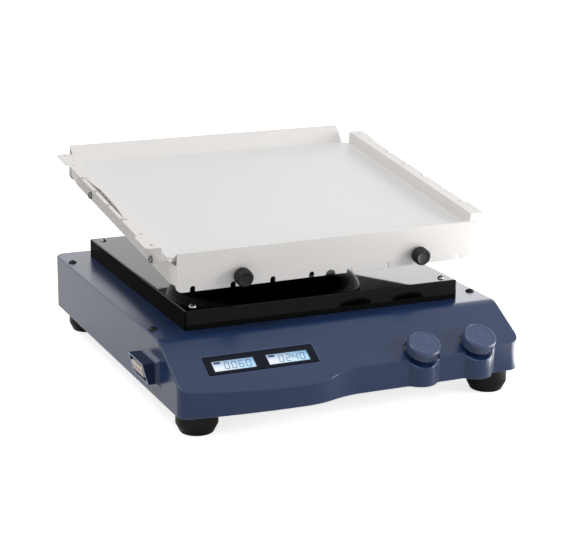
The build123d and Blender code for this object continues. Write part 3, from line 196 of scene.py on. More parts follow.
# %% The recipe for a finish
def finish(name, colour, roughness, drift=0.05, blotch=70.0, grain=1.2, lift=0.004, **sockets):
    """A skin whose colour and gloss drift over blotch mm, with grain mm wide bumps lift mm high."""
    material = bpy.data.materials.new(name)
    material.use_nodes = True
    tree = material.node_tree
    shader = tree.nodes["Principled BSDF"]
    for key, value in sockets.items():
        shader.inputs[key.replace("_", " ")].default_value = value
    place = add(tree, "ShaderNodeTexCoord").outputs["Object"]
    slow = add(tree, "ShaderNodeTexNoise", {"Scale": 1000 / blotch, "Detail": 4.0},
               {"Vector": place}).outputs[0]
    body = linear(colour)
    low = [c * (1 - drift) for c in body[:3]] + [1.0]
    high = [min(1.0, c * (1 + drift)) for c in body[:3]] + [1.0]
    tint = add(tree, "ShaderNodeMix", {"data_type": "RGBA", 6: low, 7: high}, {0: slow})
    gloss = add(tree, "ShaderNodeMapRange",
                {"To Min": roughness * (1 - drift), "To Max": roughness * (1 + drift)},
                {"Value": slow})
    fine = add(tree, "ShaderNodeTexNoise", {"Scale": 1000 / grain, "Detail": 2.0},
               {"Vector": place}).outputs[0]
    skin = add(tree, "ShaderNodeBump", {"Strength": 1.0, "Distance": lift * mm}, {"Height": fine})
    tree.links.new(tint.outputs[2], shader.inputs["Base Color"])
    tree.links.new(gloss.outputs[0], shader.inputs["Roughness"])
    tree.links.new(skin.outputs[0], shader.inputs["Normal"])
    return material


# %% [markdown]
# The base is a casting sprayed with a satin two-pack paint: a deep navy, an orange peel just
# over a millimetre wide, and a soft sheen that turns pale grey where the light grazes it. The
# edges and the rim of the switch hood get a lighter navy as a painted highlight, and the inside
# and sides of the hood a darker, duller navy as painted shade.
#
# The cover over the works is folded steel with a stoved black enamel, thick and nearly a
# mirror on top. A base and a coat that both bend light little give a black that stays dark
# when we look straight at it and turns bright when we look along it, as the real one does.

# %% Paint of the base and enamel of the cover
# Deep navy head on, pale grey at a grazing angle, with a blurred sheen.
navy_paint = finish("satin_navy_two_pack_paint", "1a2f54", 0.28, drift=0.04, grain=1.4,
                    lift=0.004, IOR=1.3, Coat_Weight=1.0, Coat_Roughness=0.24, Coat_IOR=1.33)
# Painted highlight: a thin pale line along every edge.
edge_highlight_navy = finish("navy_paint_with_painted_edge_highlight", "3d5179", 0.24, drift=0.04, grain=1.4, lift=0.004,
                   IOR=1.35, Coat_Weight=1.0, Coat_Roughness=0.2, Coat_IOR=1.4)
# Painted highlight: the bright rim round the mouth of the hood.
rim_highlight_navy = finish("navy_paint_with_painted_rim_highlight", "9aabc8", 0.3, drift=0.1, grain=1.4, lift=0.004,
                  IOR=1.45)
# Painted shade: dark and dull inside and round the hood.
hood_shade_navy = finish("navy_paint_with_painted_hood_shade", "1b2740", 0.5, drift=0.06, grain=1.2, lift=0.006,
                  IOR=1.2)
# Black glass: sharp reflections of the tray and the studio.
black_enamel = finish("stoved_gloss_black_enamel", "040303", 0.05, drift=0.1, grain=5.0,
                      lift=0.003, IOR=1.18, Coat_Weight=1.0, Coat_Roughness=0.02, Coat_IOR=1.24)
# Painted shade: the folded side walls reflect far less than the top and still look black.
enamel_painted_dark_on_sides = finish("stoved_black_enamel_with_painted_shade_on_the_sides", "040303", 0.1, drift=0.1, grain=5.0,
                     lift=0.003, IOR=1.045)
# Painted shade: the front wall reflects less than the top and mirrors the knobs faintly.
enamel_painted_dark_on_front = finish("stoved_black_enamel_with_painted_shade_on_the_front", "040303", 0.07, drift=0.1, grain=5.0,
                      lift=0.003, IOR=1.24)
# Almost black, with a soft streak of light along the turned bowl.
carrier_black = finish("black_anodised_turned_aluminium", "050505", 0.2, drift=0.15, grain=2.0,
                       lift=0.003, IOR=1.3)
print(navy_paint.name, black_enamel.name, carrier_black.name)

# %% [markdown]
# The tray and the plate under it are folded sheet with a powder coat: a warm pale grey whose
# pebbled skin is coarser than a wet paint's. The mat in it is silicone sheet, cooler and matte,
# with a faint dust of fine grain.

# %% Powder coat and mat
# Warm off-white with soft, wide highlights and no mirror image.
tray_coat = finish("pale_grey_powder_coat", "e6e3e0", 0.42, drift=0.015, grain=1.0, lift=0.01,
                   IOR=1.5)
# Painted shade: the same coat a little darker below the tray, and duller.
support_coat_with_painted_shade = finish("pale_grey_powder_coat_with_painted_shade", "dedbd8", 0.5, drift=0.02, grain=1.0,
                      lift=0.01)
# A cool grey, even and dusty, against the warm tray.
mat_rubber = finish("pale_silicone_sheet", "e2e2e3", 0.4, drift=0.02, blotch=90.0, grain=0.8,
                    lift=0.012)
print(tray_coat.name, support_coat_with_painted_shade.name, mat_rubber.name)

# %% [markdown]
# Rubber and plastics come next. The feet are moulded rubber with a dull bloom. The clamp screws
# are black nylon with a grained grip. The knobs are a matte navy plastic, a little lighter than
# the paint. The window is a dark printed film over polycarbonate.

# %% Rubber and plastics
# Nearly black, with a brownish bloom and a dull edge light.
foot_rubber = finish("moulded_black_rubber", "0f0b0a", 0.36, drift=0.3, blotch=14.0, grain=0.9,
                     lift=0.03, IOR=1.3)
# Black with a grain that breaks up the highlight.
grip_nylon = finish("grained_black_nylon", "151414", 0.42, drift=0.5, blotch=2.0, grain=0.9,
                    lift=0.12, IOR=1.35)
# A greyer, lighter blue than the paint, with a soft shine on the rims.
knob_plastic = finish("matte_navy_moulded_plastic", "3a4869", 0.28, drift=0.05, blotch=12.0,
                      grain=0.5, lift=0.008, IOR=1.5)
# Blue-black and flat, a little glossy.
window_film = finish("dark_printed_polycarbonate", "0b1120", 0.2, drift=0.08, grain=0.7,
                     lift=0.003, IOR=1.2)
# Plain black moulding with a dull skin.
switch_nylon = finish("black_moulded_nylon", "17171a", 0.4, drift=0.1, blotch=20.0, grain=0.6,
                      lift=0.01)
# Milky and half clear, with small glints in its ripples.
boot_vinyl = finish("clear_soft_vinyl", "dccdc2", 0.14, drift=0.14, blotch=3.0, grain=2.5,
                    lift=0.05, Transmission_Weight=0.4, IOR=1.45)
# Painted highlight: the folds read as pale lines.
boot_fold_highlight_vinyl = finish("clear_soft_vinyl_painted_highlight_on_folds", "f0e8e0", 0.12, drift=0.05, blotch=3.0,
                         lift=0.01, IOR=1.5)
# Flat black.
belt_rubber = finish("black_drive_belt_rubber", "1c1c1c", 0.7, drift=0.1, grain=0.6, lift=0.02)
print(foot_rubber.name, grip_nylon.name, knob_plastic.name)

# %% [markdown]
# Bare metals keep the default IOR, and their colour is the colour of their mirror image. Zinc
# plate is bright with a faint cloudiness, ground steel is clean, cast or machined aluminium is
# duller, and black oxide is a thin dark skin that still shows metal.

# %% Metals
# Bright and cloudy, faintly warm.
zinc_plate = finish("bright_zinc_plated_steel", "a9a3a1", 0.2, drift=0.08, blotch=3.0,
                    grain=0.5, lift=0.004, Metallic=1.0)
# The same plating, passivated and dull: a soft grey dot.
dull_zinc = finish("dull_zinc_plated_steel", "8f9092", 0.5, drift=0.08, blotch=3.0, grain=0.5,
                   lift=0.004, Metallic=1.0)
# Dark, with a metal glint on the crown of the screw.
black_oxide = finish("black_oxide_steel", "1d1c1d", 0.35, drift=0.2, blotch=3.0, grain=0.5,
                     lift=0.004, Metallic=0.6)
# Sheet with a slightly patchy grey shine.
plain_plate = finish("zinc_plated_sheet_steel", "a9aaab", 0.38, drift=0.1, blotch=9.0,
                     grain=0.9, lift=0.005, Metallic=1.0)
# Clean and bright, with a tight highlight along the shaft.
ground_steel = finish("ground_steel", "b8b8ba", 0.2, drift=0.05, blotch=10.0, grain=0.3,
                      lift=0.003, Metallic=1.0)
# Paler and softer than steel.
bare_aluminium = finish("machined_aluminium", "c4c6c8", 0.32, drift=0.06, blotch=12.0,
                        grain=0.4, lift=0.004, Metallic=1.0)
# Dark grey, half dull.
motor_enamel = finish("dark_grey_motor_enamel", "2a2b2e", 0.4, drift=0.08, grain=1.0, lift=0.01)
# Pale and matte, as pressed.
supply_can = finish("pressed_aluminium_case", "b0b1b3", 0.45, drift=0.06, blotch=20.0,
                    grain=0.6, lift=0.006, Metallic=1.0)
# Deep green with a wet look.
board_green = finish("green_solder_mask", "0f4a2a", 0.35, drift=0.2, blotch=4.0, grain=1.0,
                     lift=0.03)
print(zinc_plate.name, black_oxide.name, ground_steel.name)

# %% [markdown]
# The imported record names a material slot for each part.

# %% [markdown]
# A part from the imported model is loose triangles. To dress one, we merge a copy, dissolve the
# flat triangles back into whole faces, give its sharp edges the small round that a spray or a
# press leaves, and shade it smooth up to a chosen angle. The copy then stands for the part.
# A Bevel modifier would also do, but here the mesh itself is changed.

# %% Dress a part
merge_distance = 0.002 * mm
flat_angle = radians(0.2)
sharp_angle = radians(40)


def merged(name):
    """A part's mesh with its triangles merged, still open for edits."""
    copy = bmesh.new()
    copy.from_mesh(nodes[name].data)
    bmesh.ops.remove_doubles(copy, verts=copy.verts, dist=merge_distance)
    bmesh.ops.dissolve_limit(copy, angle_limit=flat_angle, verts=copy.verts, edges=copy.edges)
    for face in copy.faces:
        face.material_index = 0
    return copy


def rounded(copy, width, steps=2, skin=-1, above=sharp_angle):
    """Rounds edges that turn by more than an angle; skin is the slot of the rounds' material."""
    edges = [e for e in copy.edges if len(e.link_faces) == 2
             and e.calc_face_angle(0) > above]
    bmesh.ops.bevel(copy, geom=edges, offset=width * mm, offset_type="OFFSET", segments=steps,
                    profile=0.5, affect="EDGES", clamp_overlap=False, material=skin)
    return len(edges)


def piece(copy, name, material, body, replaces, smooth=35, edges=None):
    """Makes the mesh a piece that rides on a body and stands for the parts it replaces."""
    mesh = bpy.data.meshes.new(name)
    copy.to_mesh(mesh)
    copy.free()
    for layer in ("custom_normal", "sharp_edge", "sharp_face"):
        if layer in mesh.attributes:
            mesh.attributes.remove(mesh.attributes[layer])
    mesh.materials.append(material)
    if edges:
        mesh.materials.append(edges)
    else:
        mesh.polygons.foreach_set("material_index", [0] * len(mesh.polygons))
    mesh.polygons.foreach_set("use_smooth", [True] * len(mesh.polygons))
    mesh.set_sharp_from_angle(angle=radians(smooth))
    made = bpy.data.objects.new(name, mesh)
    bpy.context.scene.collection.objects.link(made)
    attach(made, body)
    if replaces:
        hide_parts(*replaces)
    return made


def evened(made):
    """Lets the large flat faces rule the shading at their edges."""
    made.modifiers.new("even", "WEIGHTED_NORMAL").keep_sharp = True
    return made


print("triangles merge within", merge_distance / mm, "mm")

# %% [markdown]
# The housing comes first. Its rounds take a lighter navy, a painted highlight that draws the pale
# line along every edge. Beyond the left wall there is only the switch hood: faces there that look
# outwards are its rim, with a painted highlight, and the others get painted shade. Material slots
# are counted from nought, in the order in which they are added. Clearing a mesh's materials sets
# every face back to slot nought, so none is cleared once its faces have their slots.

# %% Housing
edge_highlight_slot, rim_highlight_slot, hood_shade_slot = 1, 2, 3
housing = merged("housing")
print("housing:", rounded(housing, 0.7, steps=3, skin=edge_highlight_slot), "edges rounded")
hood_start, faces_out = -188.0 * mm, -0.6
# The hood's outward rim faces get a painted highlight and its other faces painted shade.
for face in housing.faces:
    if face.calc_center_median().x < hood_start:
        face.material_index = rim_highlight_slot if face.normal.x < faces_out else hood_shade_slot
housing = evened(piece(housing, "painted_housing", navy_paint, "base", ["housing"], smooth=30,
                       edges=edge_highlight_navy))
housing.data.materials.append(rim_highlight_navy)
housing.data.materials.append(hood_shade_navy)
used = [face.material_index for face in housing.data.polygons]
print("faces of plain paint, painted edge highlight, rim highlight and hood shade:", [used.count(i) for i in range(4)])

# %% [markdown]
# The cover gets its enamel by the way each face looks: up, to a side, or to the front or back;
# the sides and the front reflect less, as painted shade.
# The tray and its mat need only their rounds.

# %% Cover, tray and mat
mostly = 0.5
cover = merged("top_cover")
print("cover:", rounded(cover, 0.3), "edges rounded")
cover = evened(piece(cover, "enamelled_cover", black_enamel, "base", ["top_cover"], smooth=30))
cover.data.materials.append(enamel_painted_dark_on_sides)
cover.data.materials.append(enamel_painted_dark_on_front)
# Sides and front take the enamels that carry painted shade.
for face in cover.data.polygons:
    face.material_index = (0 if abs(face.normal.z) > mostly else
                           1 if abs(face.normal.x) > mostly else 2)

tray = merged("tray")
print("tray:", rounded(tray, 0.55, steps=3), "edges rounded")
evened(piece(tray, "folded_tray", tray_coat, "tray_unit", ["tray"], smooth=30))

mat = merged("tray_mat")
print("mat:", rounded(mat, 0.4), "edges rounded")
evened(piece(mat, "silicone_mat", mat_rubber, "tray_unit", ["tray_mat"], smooth=30))

# %% [markdown]
# The carrier under the tray, the plate that holds it, the four feet and the clear boot over the
# mains switch are dressed in the same way. Rubber and vinyl come out of their moulds with far
# softer edges than sheet metal, so their rounds are wider. The boot is folded all over, so
# even its shallow folds are rounded, and the rounds take a paler vinyl as a painted highlight.

# %% Carrier, support plate, feet and switch boot
soft_dress = [
    ("carrier", "turned_carrier", carrier_black, "rocking_platform", 0.3),
    ("support_plate", "support_plate_coated", support_coat_with_painted_shade, "rocking_platform", 0.3),
    ("feet", "rubber_feet", foot_rubber, "base", 0.6),
    ("switch_body", "switch_frame", switch_nylon, "base", 0.25),
    ("rocker", "switch_rocker", switch_nylon, "power_rocker", 0.3),
    ("mains_inlet", "inlet_moulding", switch_nylon, "base", 0.25),
    ("fuse_drawer", "fuse_drawer_moulding", switch_nylon, "fuse_holder", 0.25),
    ("base_plate", "underside_plate", plain_plate, "base", 0.3),
]
for part, name, material, body, width in soft_dress:
    copy = merged(part)
    count = rounded(copy, width)
    evened(piece(copy, name, material, body, [part]))
    print(f"{name}: {count} edges rounded by {width} mm")
shallow_fold = radians(12)
boot = merged("rocker_boot")
print("vinyl_boot:", rounded(boot, 0.5, skin=1, above=shallow_fold), "folds given a painted highlight")
piece(boot, "vinyl_boot", boot_vinyl, "base", ["rocker_boot"], edges=boot_fold_highlight_vinyl)

# %% [markdown]
# The knobs, the screws and the display sit on surfaces that lean, so we need two measuring
# helpers. One gives the corners of a part in any leaning frame. The other turns a profile of
# radius and height pairs round an axis, closed at its poles, which is how a lathe would cut it.

# %% Measure and turn
panel_slope = radians(28.55)
panel = Matrix.LocRotScale(Vector((4.0, -140.4, 82.1)) * mm,
                           Matrix.Rotation(panel_slope, 3, "X"), None)


def extent(name, place):
    """Lowest and highest corner of a part, in mm, in the frame of a place."""
    back = place.inverted()
    points = [back @ v.co / mm for v in nodes[name].data.vertices]
    return (Vector([min(p[i] for p in points) for i in range(3)]),
            Vector([max(p[i] for p in points) for i in range(3)]))


def turned(profile, place, segments=96):
    """A closed mesh turned from (radius, height) pairs in mm, from one pole to the other."""
    lathe = bmesh.new()
    rings = []
    for radius, height in profile:
        count = segments if radius > 0 else 1
        rings.append([lathe.verts.new(place @ (Vector((
            radius * cos(radians(360) * k / count), radius * sin(radians(360) * k / count),
            height)) * mm)) for k in range(count)])
    for low, high in zip(rings, rings[1:]):
        for k in range(segments):
            corners = [low[k % len(low)], low[(k + 1) % len(low)],
                       high[(k + 1) % len(high)], high[k % len(high)]]
            lathe.faces.new(list(dict.fromkeys(corners)))
    bmesh.ops.recalc_face_normals(lathe, faces=lathe.faces)
    return lathe


print("panel leans", round(degrees(panel_slope), 2), "degrees")

# %% [markdown]
# The two knobs are moulded cups with a flat top, a thin bevelled rim and a lower skirt with fine
# slanting ribs for the fingers. The cup is turned from a profile. The ribs repeat round a
# circle, so a geometry tree makes them: it puts one bar on each point of a ring, turns it to
# face outwards and leans it over. The tree's sizes are its inputs, so the clamp screws can use
# it too, with straight ribs.

# %% A geometry tree for ribs round a grip
ribs = bpy.data.node_groups.new("ribs_round_a_grip", "GeometryNodeTree")
for kind, names in (("Int", ["Count"]), ("Float", ["Radius", "Width", "Length", "Lean", "Level"]),
                    ("Material", ["Finish"])):
    for name in names:
        ribs.interface.new_socket(name, in_out="INPUT", socket_type="NodeSocket" + kind)
ribs.interface.new_socket("Geometry", in_out="OUTPUT", socket_type="NodeSocketGeometry")
sizes = add(ribs, "NodeGroupInput").outputs
ring = add(ribs, "GeometryNodeMeshCircle", None,
           {"Vertices": sizes["Count"], "Radius": sizes["Radius"]})
half = add(ribs, "ShaderNodeMath", {"operation": "MULTIPLY", 1: 0.5}, {0: sizes["Width"]})
bar = add(ribs, "GeometryNodeMeshCylinder", {"Vertices": 6, "Side Segments": 1},
          {"Radius": half.outputs[0], "Depth": sizes["Length"]})
spot = add(ribs, "GeometryNodeInputPosition")
outward = add(ribs, "FunctionNodeAlignRotationToVector", {"axis": "X", "pivot_axis": "Z"},
              {"Vector": spot.outputs[0]})
lean = add(ribs, "FunctionNodeAxisAngleToRotation", {"Axis": (1, 0, 0)},
           {"Angle": sizes["Lean"]})
leaned = add(ribs, "FunctionNodeRotateRotation", {"rotation_space": "LOCAL"},
             {0: outward.outputs[0], 1: lean.outputs[0]})
bars = add(ribs, "GeometryNodeInstanceOnPoints", None,
           {"Points": ring.outputs["Mesh"], "Instance": bar.outputs["Mesh"],
            "Rotation": leaned.outputs[0]})
level = add(ribs, "ShaderNodeCombineXYZ", None, {"Z": sizes["Level"]})
raised = add(ribs, "GeometryNodeTransform", None,
             {"Geometry": bars.outputs[0], "Translation": level.outputs[0]})
real = add(ribs, "GeometryNodeRealizeInstances", None, {0: raised.outputs[0]})
coloured = add(ribs, "GeometryNodeSetMaterial", None,
               {"Geometry": real.outputs[0], "Material": sizes["Finish"]})
add(ribs, "NodeGroupOutput", None, {"Geometry": coloured.outputs[0]})


def grown(tree, inputs, points=()):
    """The plain mesh that a geometry tree makes from its inputs, and from points if it asks."""
    seed = bpy.data.meshes.new("seed")
    seed.from_pydata([tuple(p) for p in points], [], [])
    holder = bpy.data.objects.new("holder", seed)
    bpy.context.scene.collection.objects.link(holder)
    run = holder.modifiers.new("run", "NODES")
    run.node_group = tree
    for socket in tree.interface.items_tree:
        if socket.in_out == "INPUT" and socket.name in inputs:
            run[socket.identifier] = inputs[socket.name]
    holder.update_tag()
    evaluated = holder.evaluated_get(bpy.context.evaluated_depsgraph_get())
    mesh = bpy.data.meshes.new_from_object(evaluated)
    bpy.data.objects.remove(holder)
    return mesh


print("tree:", ribs.name, "with", len(ribs.nodes), "nodes")

# %% [markdown]
# The knob's profile goes round the hub and the hollow inside, up over the ribbed skirt and back
# across the top, where two rings a tenth of a millimetre deep catch the light. All numbers are
# in millimetres.

# %% Knobs
knob_skirt = 15.7
knob_profile = [(0, 11.5), (3.05, 11.5), (3.05, 4.0), (5.0, 4.0), (5.0, 11.5), (14.6, 11.5),
                (14.6, 2.6), (16.0, 2.6), (knob_skirt, 2.9), (knob_skirt, 9.4), (17.0, 9.9),
                (17.0, 11.4), (16.9, 12.2), (16.6, 12.9), (16.0, 13.5), (15.3, 13.85),
                (14.9, 13.95), (14.7, 13.95), (14.5, 13.8), (11.4, 13.75), (11.1, 13.66),
                (10.8, 13.74), (6.8, 13.7), (6.5, 13.61), (6.2, 13.69), (0, 13.65)]
for side in ("speed", "time"):
    low, high = extent(side + "_knob", panel)
    middle = (low + high) / 2
    place = panel @ Matrix.Translation(Vector((middle.x, middle.y, 0)) * mm)
    knob = turned(knob_profile, place)
    grip = grown(ribs, {"Count": 38, "Radius": 15.9 * mm, "Width": 1.9 * mm,
                        "Length": 7.4 * mm, "Lean": radians(26), "Level": 6.2 * mm,
                        "Finish": knob_plastic})
    grip.transform(place)
    knob.from_mesh(grip)
    piece(knob, f"{side}_knob_moulding", knob_plastic, f"{side}_dial", [f"{side}_knob"])
    print(side, "knob at", tuple(round(c, 1) for c in middle[:2]), "mm on the panel")

# %% [markdown]
# Two black clamp screws hold the tray's front flange. Each is a ribbed nylon grip with a grained
# flat face and a short neck. The grip is turned about the screw's own axis, which points out of
# the flange, and the same tree gives it straight ribs.

# %% Clamp screws
screw_axis = Vector((0.034469826, -0.987086668, -0.156434465))
grip_profile = [(0, 0), (4.4, 0), (4.5, 0.1), (4.5, 1.6), (7.9, 1.7), (8.4, 2.2), (8.4, 11.6),
                (8.1, 12.1), (7.5, 12.45), (6.6, 12.45), (6.2, 12.25), (3.0, 12.1), (0, 12.05)]
clamp_feet = {"left": Vector((-89.682, -124.302, 133.878)) * mm,
              "right": Vector((108.797, -117.371, 133.878)) * mm}
for side, foot in clamp_feet.items():
    place = Matrix.LocRotScale(foot, screw_axis.to_track_quat("Z", "Y"), None)
    low, high = extent(f"{side}_thumb_screw", place)
    grip = turned(grip_profile, place, segments=48)
    bars = grown(ribs, {"Count": 18, "Radius": 8.1 * mm, "Width": 1.5 * mm, "Length": 9.0 * mm,
                        "Level": 6.9 * mm, "Finish": grip_nylon})
    bars.transform(place)
    grip.from_mesh(bars)
    shank = turned([(0, low.z), (2.4, low.z), (2.5, low.z + 0.3), (2.5, 0.05), (0, 0.05)], place,
                   segments=32)
    shank_mesh = bpy.data.meshes.new("shank")
    shank.to_mesh(shank_mesh)
    shank.free()
    grip.from_mesh(shank_mesh)
    piece(grip, f"{side}_clamp_grip", grip_nylon, f"{side}_clamp_screw", [f"{side}_thumb_screw"])
    print(side, "clamp screw reaches from", round(low.z, 1), "to", round(high.z, 1), "mm")

# %% [markdown]
# Screw heads repeat, so a second tree instances them. It reads a mesh of one point per screw,
# builds one pan head with a cross recess by a Boolean, and gives each a random turn from a fixed
# seed, because no fitter leaves every slot in line. The points are measured from the parts.

# %% A geometry tree for pan head screws
cutter_size = 2.4
recess_size = (1.15, 0.24, 1.1)
half_turn = radians(180)
pans = bpy.data.node_groups.new("pan_head_screws", "GeometryNodeTree")
pans.interface.new_socket("Geometry", in_out="INPUT", socket_type="NodeSocketGeometry")
for name in ("Radius", "Height", "Shank", "Reach"):
    pans.interface.new_socket(name, in_out="INPUT", socket_type="NodeSocketFloat")
pans.interface.new_socket("Finish", in_out="INPUT", socket_type="NodeSocketMaterial")
pans.interface.new_socket("Geometry", in_out="OUTPUT", socket_type="NodeSocketGeometry")
sizes = add(pans, "NodeGroupInput").outputs
dome_size = add(pans, "ShaderNodeCombineXYZ", None,
                {"X": sizes["Radius"], "Y": sizes["Radius"], "Z": sizes["Height"]})
ball = add(pans, "GeometryNodeMeshUVSphere", {"Segments": 32, "Rings": 16, "Radius": 1.0})
dome = add(pans, "GeometryNodeTransform", None,
           {"Geometry": ball.outputs["Mesh"], "Scale": dome_size.outputs[0]})
under = add(pans, "GeometryNodeMeshCube", {"Size": (1.0, 1.0, 1.0)})
down = add(pans, "ShaderNodeVectorMath", {"operation": "SCALE", "Scale": -0.5},
           {0: dome_size.outputs[0]})
only_z = add(pans, "ShaderNodeVectorMath", {"operation": "MULTIPLY", 1: (0, 0, cutter_size)},
             {0: down.outputs[0]})
wide = add(pans, "ShaderNodeVectorMath", {"operation": "SCALE", "Scale": cutter_size},
           {0: dome_size.outputs[0]})
lower = add(pans, "GeometryNodeTransform", None,
            {"Geometry": under.outputs["Mesh"], "Translation": only_z.outputs[0],
             "Scale": wide.outputs[0]})
arm = add(pans, "ShaderNodeVectorMath", {"operation": "MULTIPLY", 1: recess_size},
          {0: dome_size.outputs[0]})
lift = add(pans, "ShaderNodeVectorMath", {"operation": "MULTIPLY", 1: (0, 0, 1.0)},
           {0: dome_size.outputs[0]})
bar = add(pans, "GeometryNodeTransform", None,
          {"Geometry": under.outputs["Mesh"], "Translation": lift.outputs[0],
           "Scale": arm.outputs[0]})
across = add(pans, "GeometryNodeTransform", {"Rotation": (0, 0, radians(90))},
             {"Geometry": bar.outputs[0]})
head = add(pans, "GeometryNodeMeshBoolean", {"operation": "DIFFERENCE"},
           {"Mesh 1": dome.outputs[0]})
for cutter in (lower, bar, across):
    pans.links.new(cutter.outputs[0], head.inputs["Mesh 2"])
stem = add(pans, "GeometryNodeMeshCylinder", {"Vertices": 24},
           {"Radius": sizes["Shank"], "Depth": sizes["Reach"]})
sink = add(pans, "ShaderNodeMath", {"operation": "MULTIPLY", 1: -0.5}, {0: sizes["Reach"]})
sunk = add(pans, "ShaderNodeCombineXYZ", None, {"Z": sink.outputs[0]})
stem = add(pans, "GeometryNodeTransform", None,
           {"Geometry": stem.outputs["Mesh"], "Translation": sunk.outputs[0]})
screw = add(pans, "GeometryNodeJoinGeometry")
for half in (head, stem):
    pans.links.new(half.outputs[0], screw.inputs[0])
spin = add(pans, "FunctionNodeRandomValue", {"data_type": "FLOAT", "Seed": 7})
spin.inputs[3].default_value = half_turn
turn = add(pans, "ShaderNodeCombineXYZ", None, {"Z": spin.outputs[1]})
placed = add(pans, "GeometryNodeInstanceOnPoints", None,
             {"Points": sizes["Geometry"], "Instance": screw.outputs[0],
              "Rotation": turn.outputs[0]})
real = add(pans, "GeometryNodeRealizeInstances", None, {0: placed.outputs[0]})
coloured = add(pans, "GeometryNodeSetMaterial", None,
               {"Geometry": real.outputs[0], "Material": sizes["Finish"]})
add(pans, "NodeGroupOutput", None, {"Geometry": coloured.outputs[0]})


def solids(name):
    """Low and high corners, in mm, of each separate solid of a part."""
    copy = merged(name)
    found = []
    left = set(copy.verts)
    while left:
        group, edge_of = set(), [next(iter(left))]
        while edge_of:
            vertex = edge_of.pop()
            if vertex not in group:
                group.add(vertex)
                edge_of += [e.other_vert(vertex) for e in vertex.link_edges]
        left -= group
        found.append((Vector([min(v.co[i] for v in group) / mm for i in range(3)]),
                      Vector([max(v.co[i] for v in group) / mm for i in range(3)])))
    copy.free()
    return found


for part, name, material, radius, height, shank in (
        ("cover_screws", "cover_pan_screws", zinc_plate, 3.8, 2.6, 2.0),
        ("housing_screws", "housing_pan_screws", black_oxide, 4.6, 2.6, 2.5)):
    boxes = solids(part)
    seats = [Vector(((a.x + b.x) / 2, (a.y + b.y) / 2, b.z - height)) * mm for a, b in boxes]
    reach = min(b.z - a.z for a, b in boxes) - height
    made = bmesh.new()
    made.from_mesh(grown(pans, {"Radius": radius * mm, "Height": height * mm,
                                "Shank": shank * mm, "Reach": reach * mm,
                                "Finish": material}, seats))
    piece(made, name, material, "base", [part], smooth=40)
    print(name, "at", [tuple(round(c / mm, 1) for c in seat) for seat in seats])

# %% [markdown]
# The two displays are backlit liquid crystal windows. The crystal is paler at its left end and
# bluer to the right, and a painted shadow of its frame darkens it under the top edge, so each
# pane carries its own UV map and the colour follows that. It gives off a little light of its own.

# %% Liquid crystal panes
# A pale blue glow that deepens to the right, with a painted shadow of the frame at the top.
crystal = finish("backlit_liquid_crystal", "bcdcf2", 0.12, drift=0.01, grain=0.6, lift=0.001)
tree = crystal.node_tree
shader = tree.nodes["Principled BSDF"]
across = add(tree, "ShaderNodeSeparateXYZ", None,
             {0: add(tree, "ShaderNodeTexCoord").outputs["UV"]})
along = add(tree, "ShaderNodeValToRGB", None, {0: across.outputs["X"]})
along.color_ramp.elements[0].color = linear("e4e6f4")
along.color_ramp.elements[1].color = linear("a2cfeb")
# Painted shadow of the frame's top edge, in both the colour and the glow.
upward_shade = add(tree, "ShaderNodeValToRGB", None, {0: across.outputs["Y"]})
upward_shade.color_ramp.elements[0].color = linear("ffffff")
upward_shade.color_ramp.elements[0].position = 0.35
upward_shade.color_ramp.elements[1].color = linear("a9bccd")
tone = add(tree, "ShaderNodeMix", {"data_type": "RGBA", "blend_type": "MULTIPLY", 0: 1.0},
           {6: along.outputs[0], 7: upward_shade.outputs[0]})
tree.links.new(tone.outputs[2], shader.inputs["Base Color"])
tree.links.new(tone.outputs[2], shader.inputs["Emission Color"])
shader.inputs["Emission Strength"].default_value = 0.25
# Blue-grey bars, as a twisted crystal shows them.
crystal_ink = finish("liquid_crystal_digits", "2c5a7a", 0.3, drift=0.1, blotch=3.0, lift=0.001)
# A darker blue.
icon_ink = finish("liquid_crystal_icon", "123066", 0.3, drift=0.1, blotch=3.0, lift=0.001)
# A black line that closes the pane.
frame_black = finish("black_printed_surround", "0a0d16", 0.25, drift=0.1, lift=0.002, IOR=1.3)
windows = {}
for side in ("left", "right"):
    low, high = extent(side + "_lcd", panel)
    windows[side] = (low, high)
    pane = merged(side + "_lcd")
    rounded(pane, 0.1, steps=1)
    chart = pane.loops.layers.uv.new("pane")
    back = panel.inverted()
    for face in pane.faces:
        for loop in face.loops:
            at = back @ loop.vert.co / mm
            loop[chart].uv = ((at.x - low.x) / (high.x - low.x),
                              (at.y - low.y) / (high.y - low.y))
    piece(pane, side + "_display_pane", crystal, "base", [side + "_lcd"])
    print(side, "pane", [round(c, 1) for c in high - low], "mm, face at", round(high.z, 2))

# %% [markdown]
# The readings are seven-segment digits, thin dark bars with pointed ends that lean a little.
# Each bar is a six-cornered prism a few hundredths of a millimetre thick. A rounded bar in the
# corner stands for an icon, and a thin black surround frames each pane.

# %% Digits, icons and surrounds
digit_height = 8.2
digit_width = 4.2
bar_width = 0.75
digit_lean = 0.1
bar_gap = 0.15
reading_start = 11.5
reading_end = 1.6
reading_drop = 0.2
ink_levels = (0.01, 0.05)
dot = 0.8
surround = 1.3
segments_of = {"0": "abcdef", "1": "bc", "2": "abged", "3": "abgcd", "4": "fgbc", "5": "afgcd",
               "6": "afgedc", "7": "abc", "8": "abcdefg", "9": "abcdfg"}
half = digit_height / 2
ends_of = {"a": ((0, 2), (1, 2)), "b": ((1, 2), (1, 1)), "c": ((1, 1), (1, 0)),
           "d": ((0, 0), (1, 0)), "e": ((0, 1), (0, 0)), "f": ((0, 2), (0, 1)),
           "g": ((0, 1), (1, 1))}


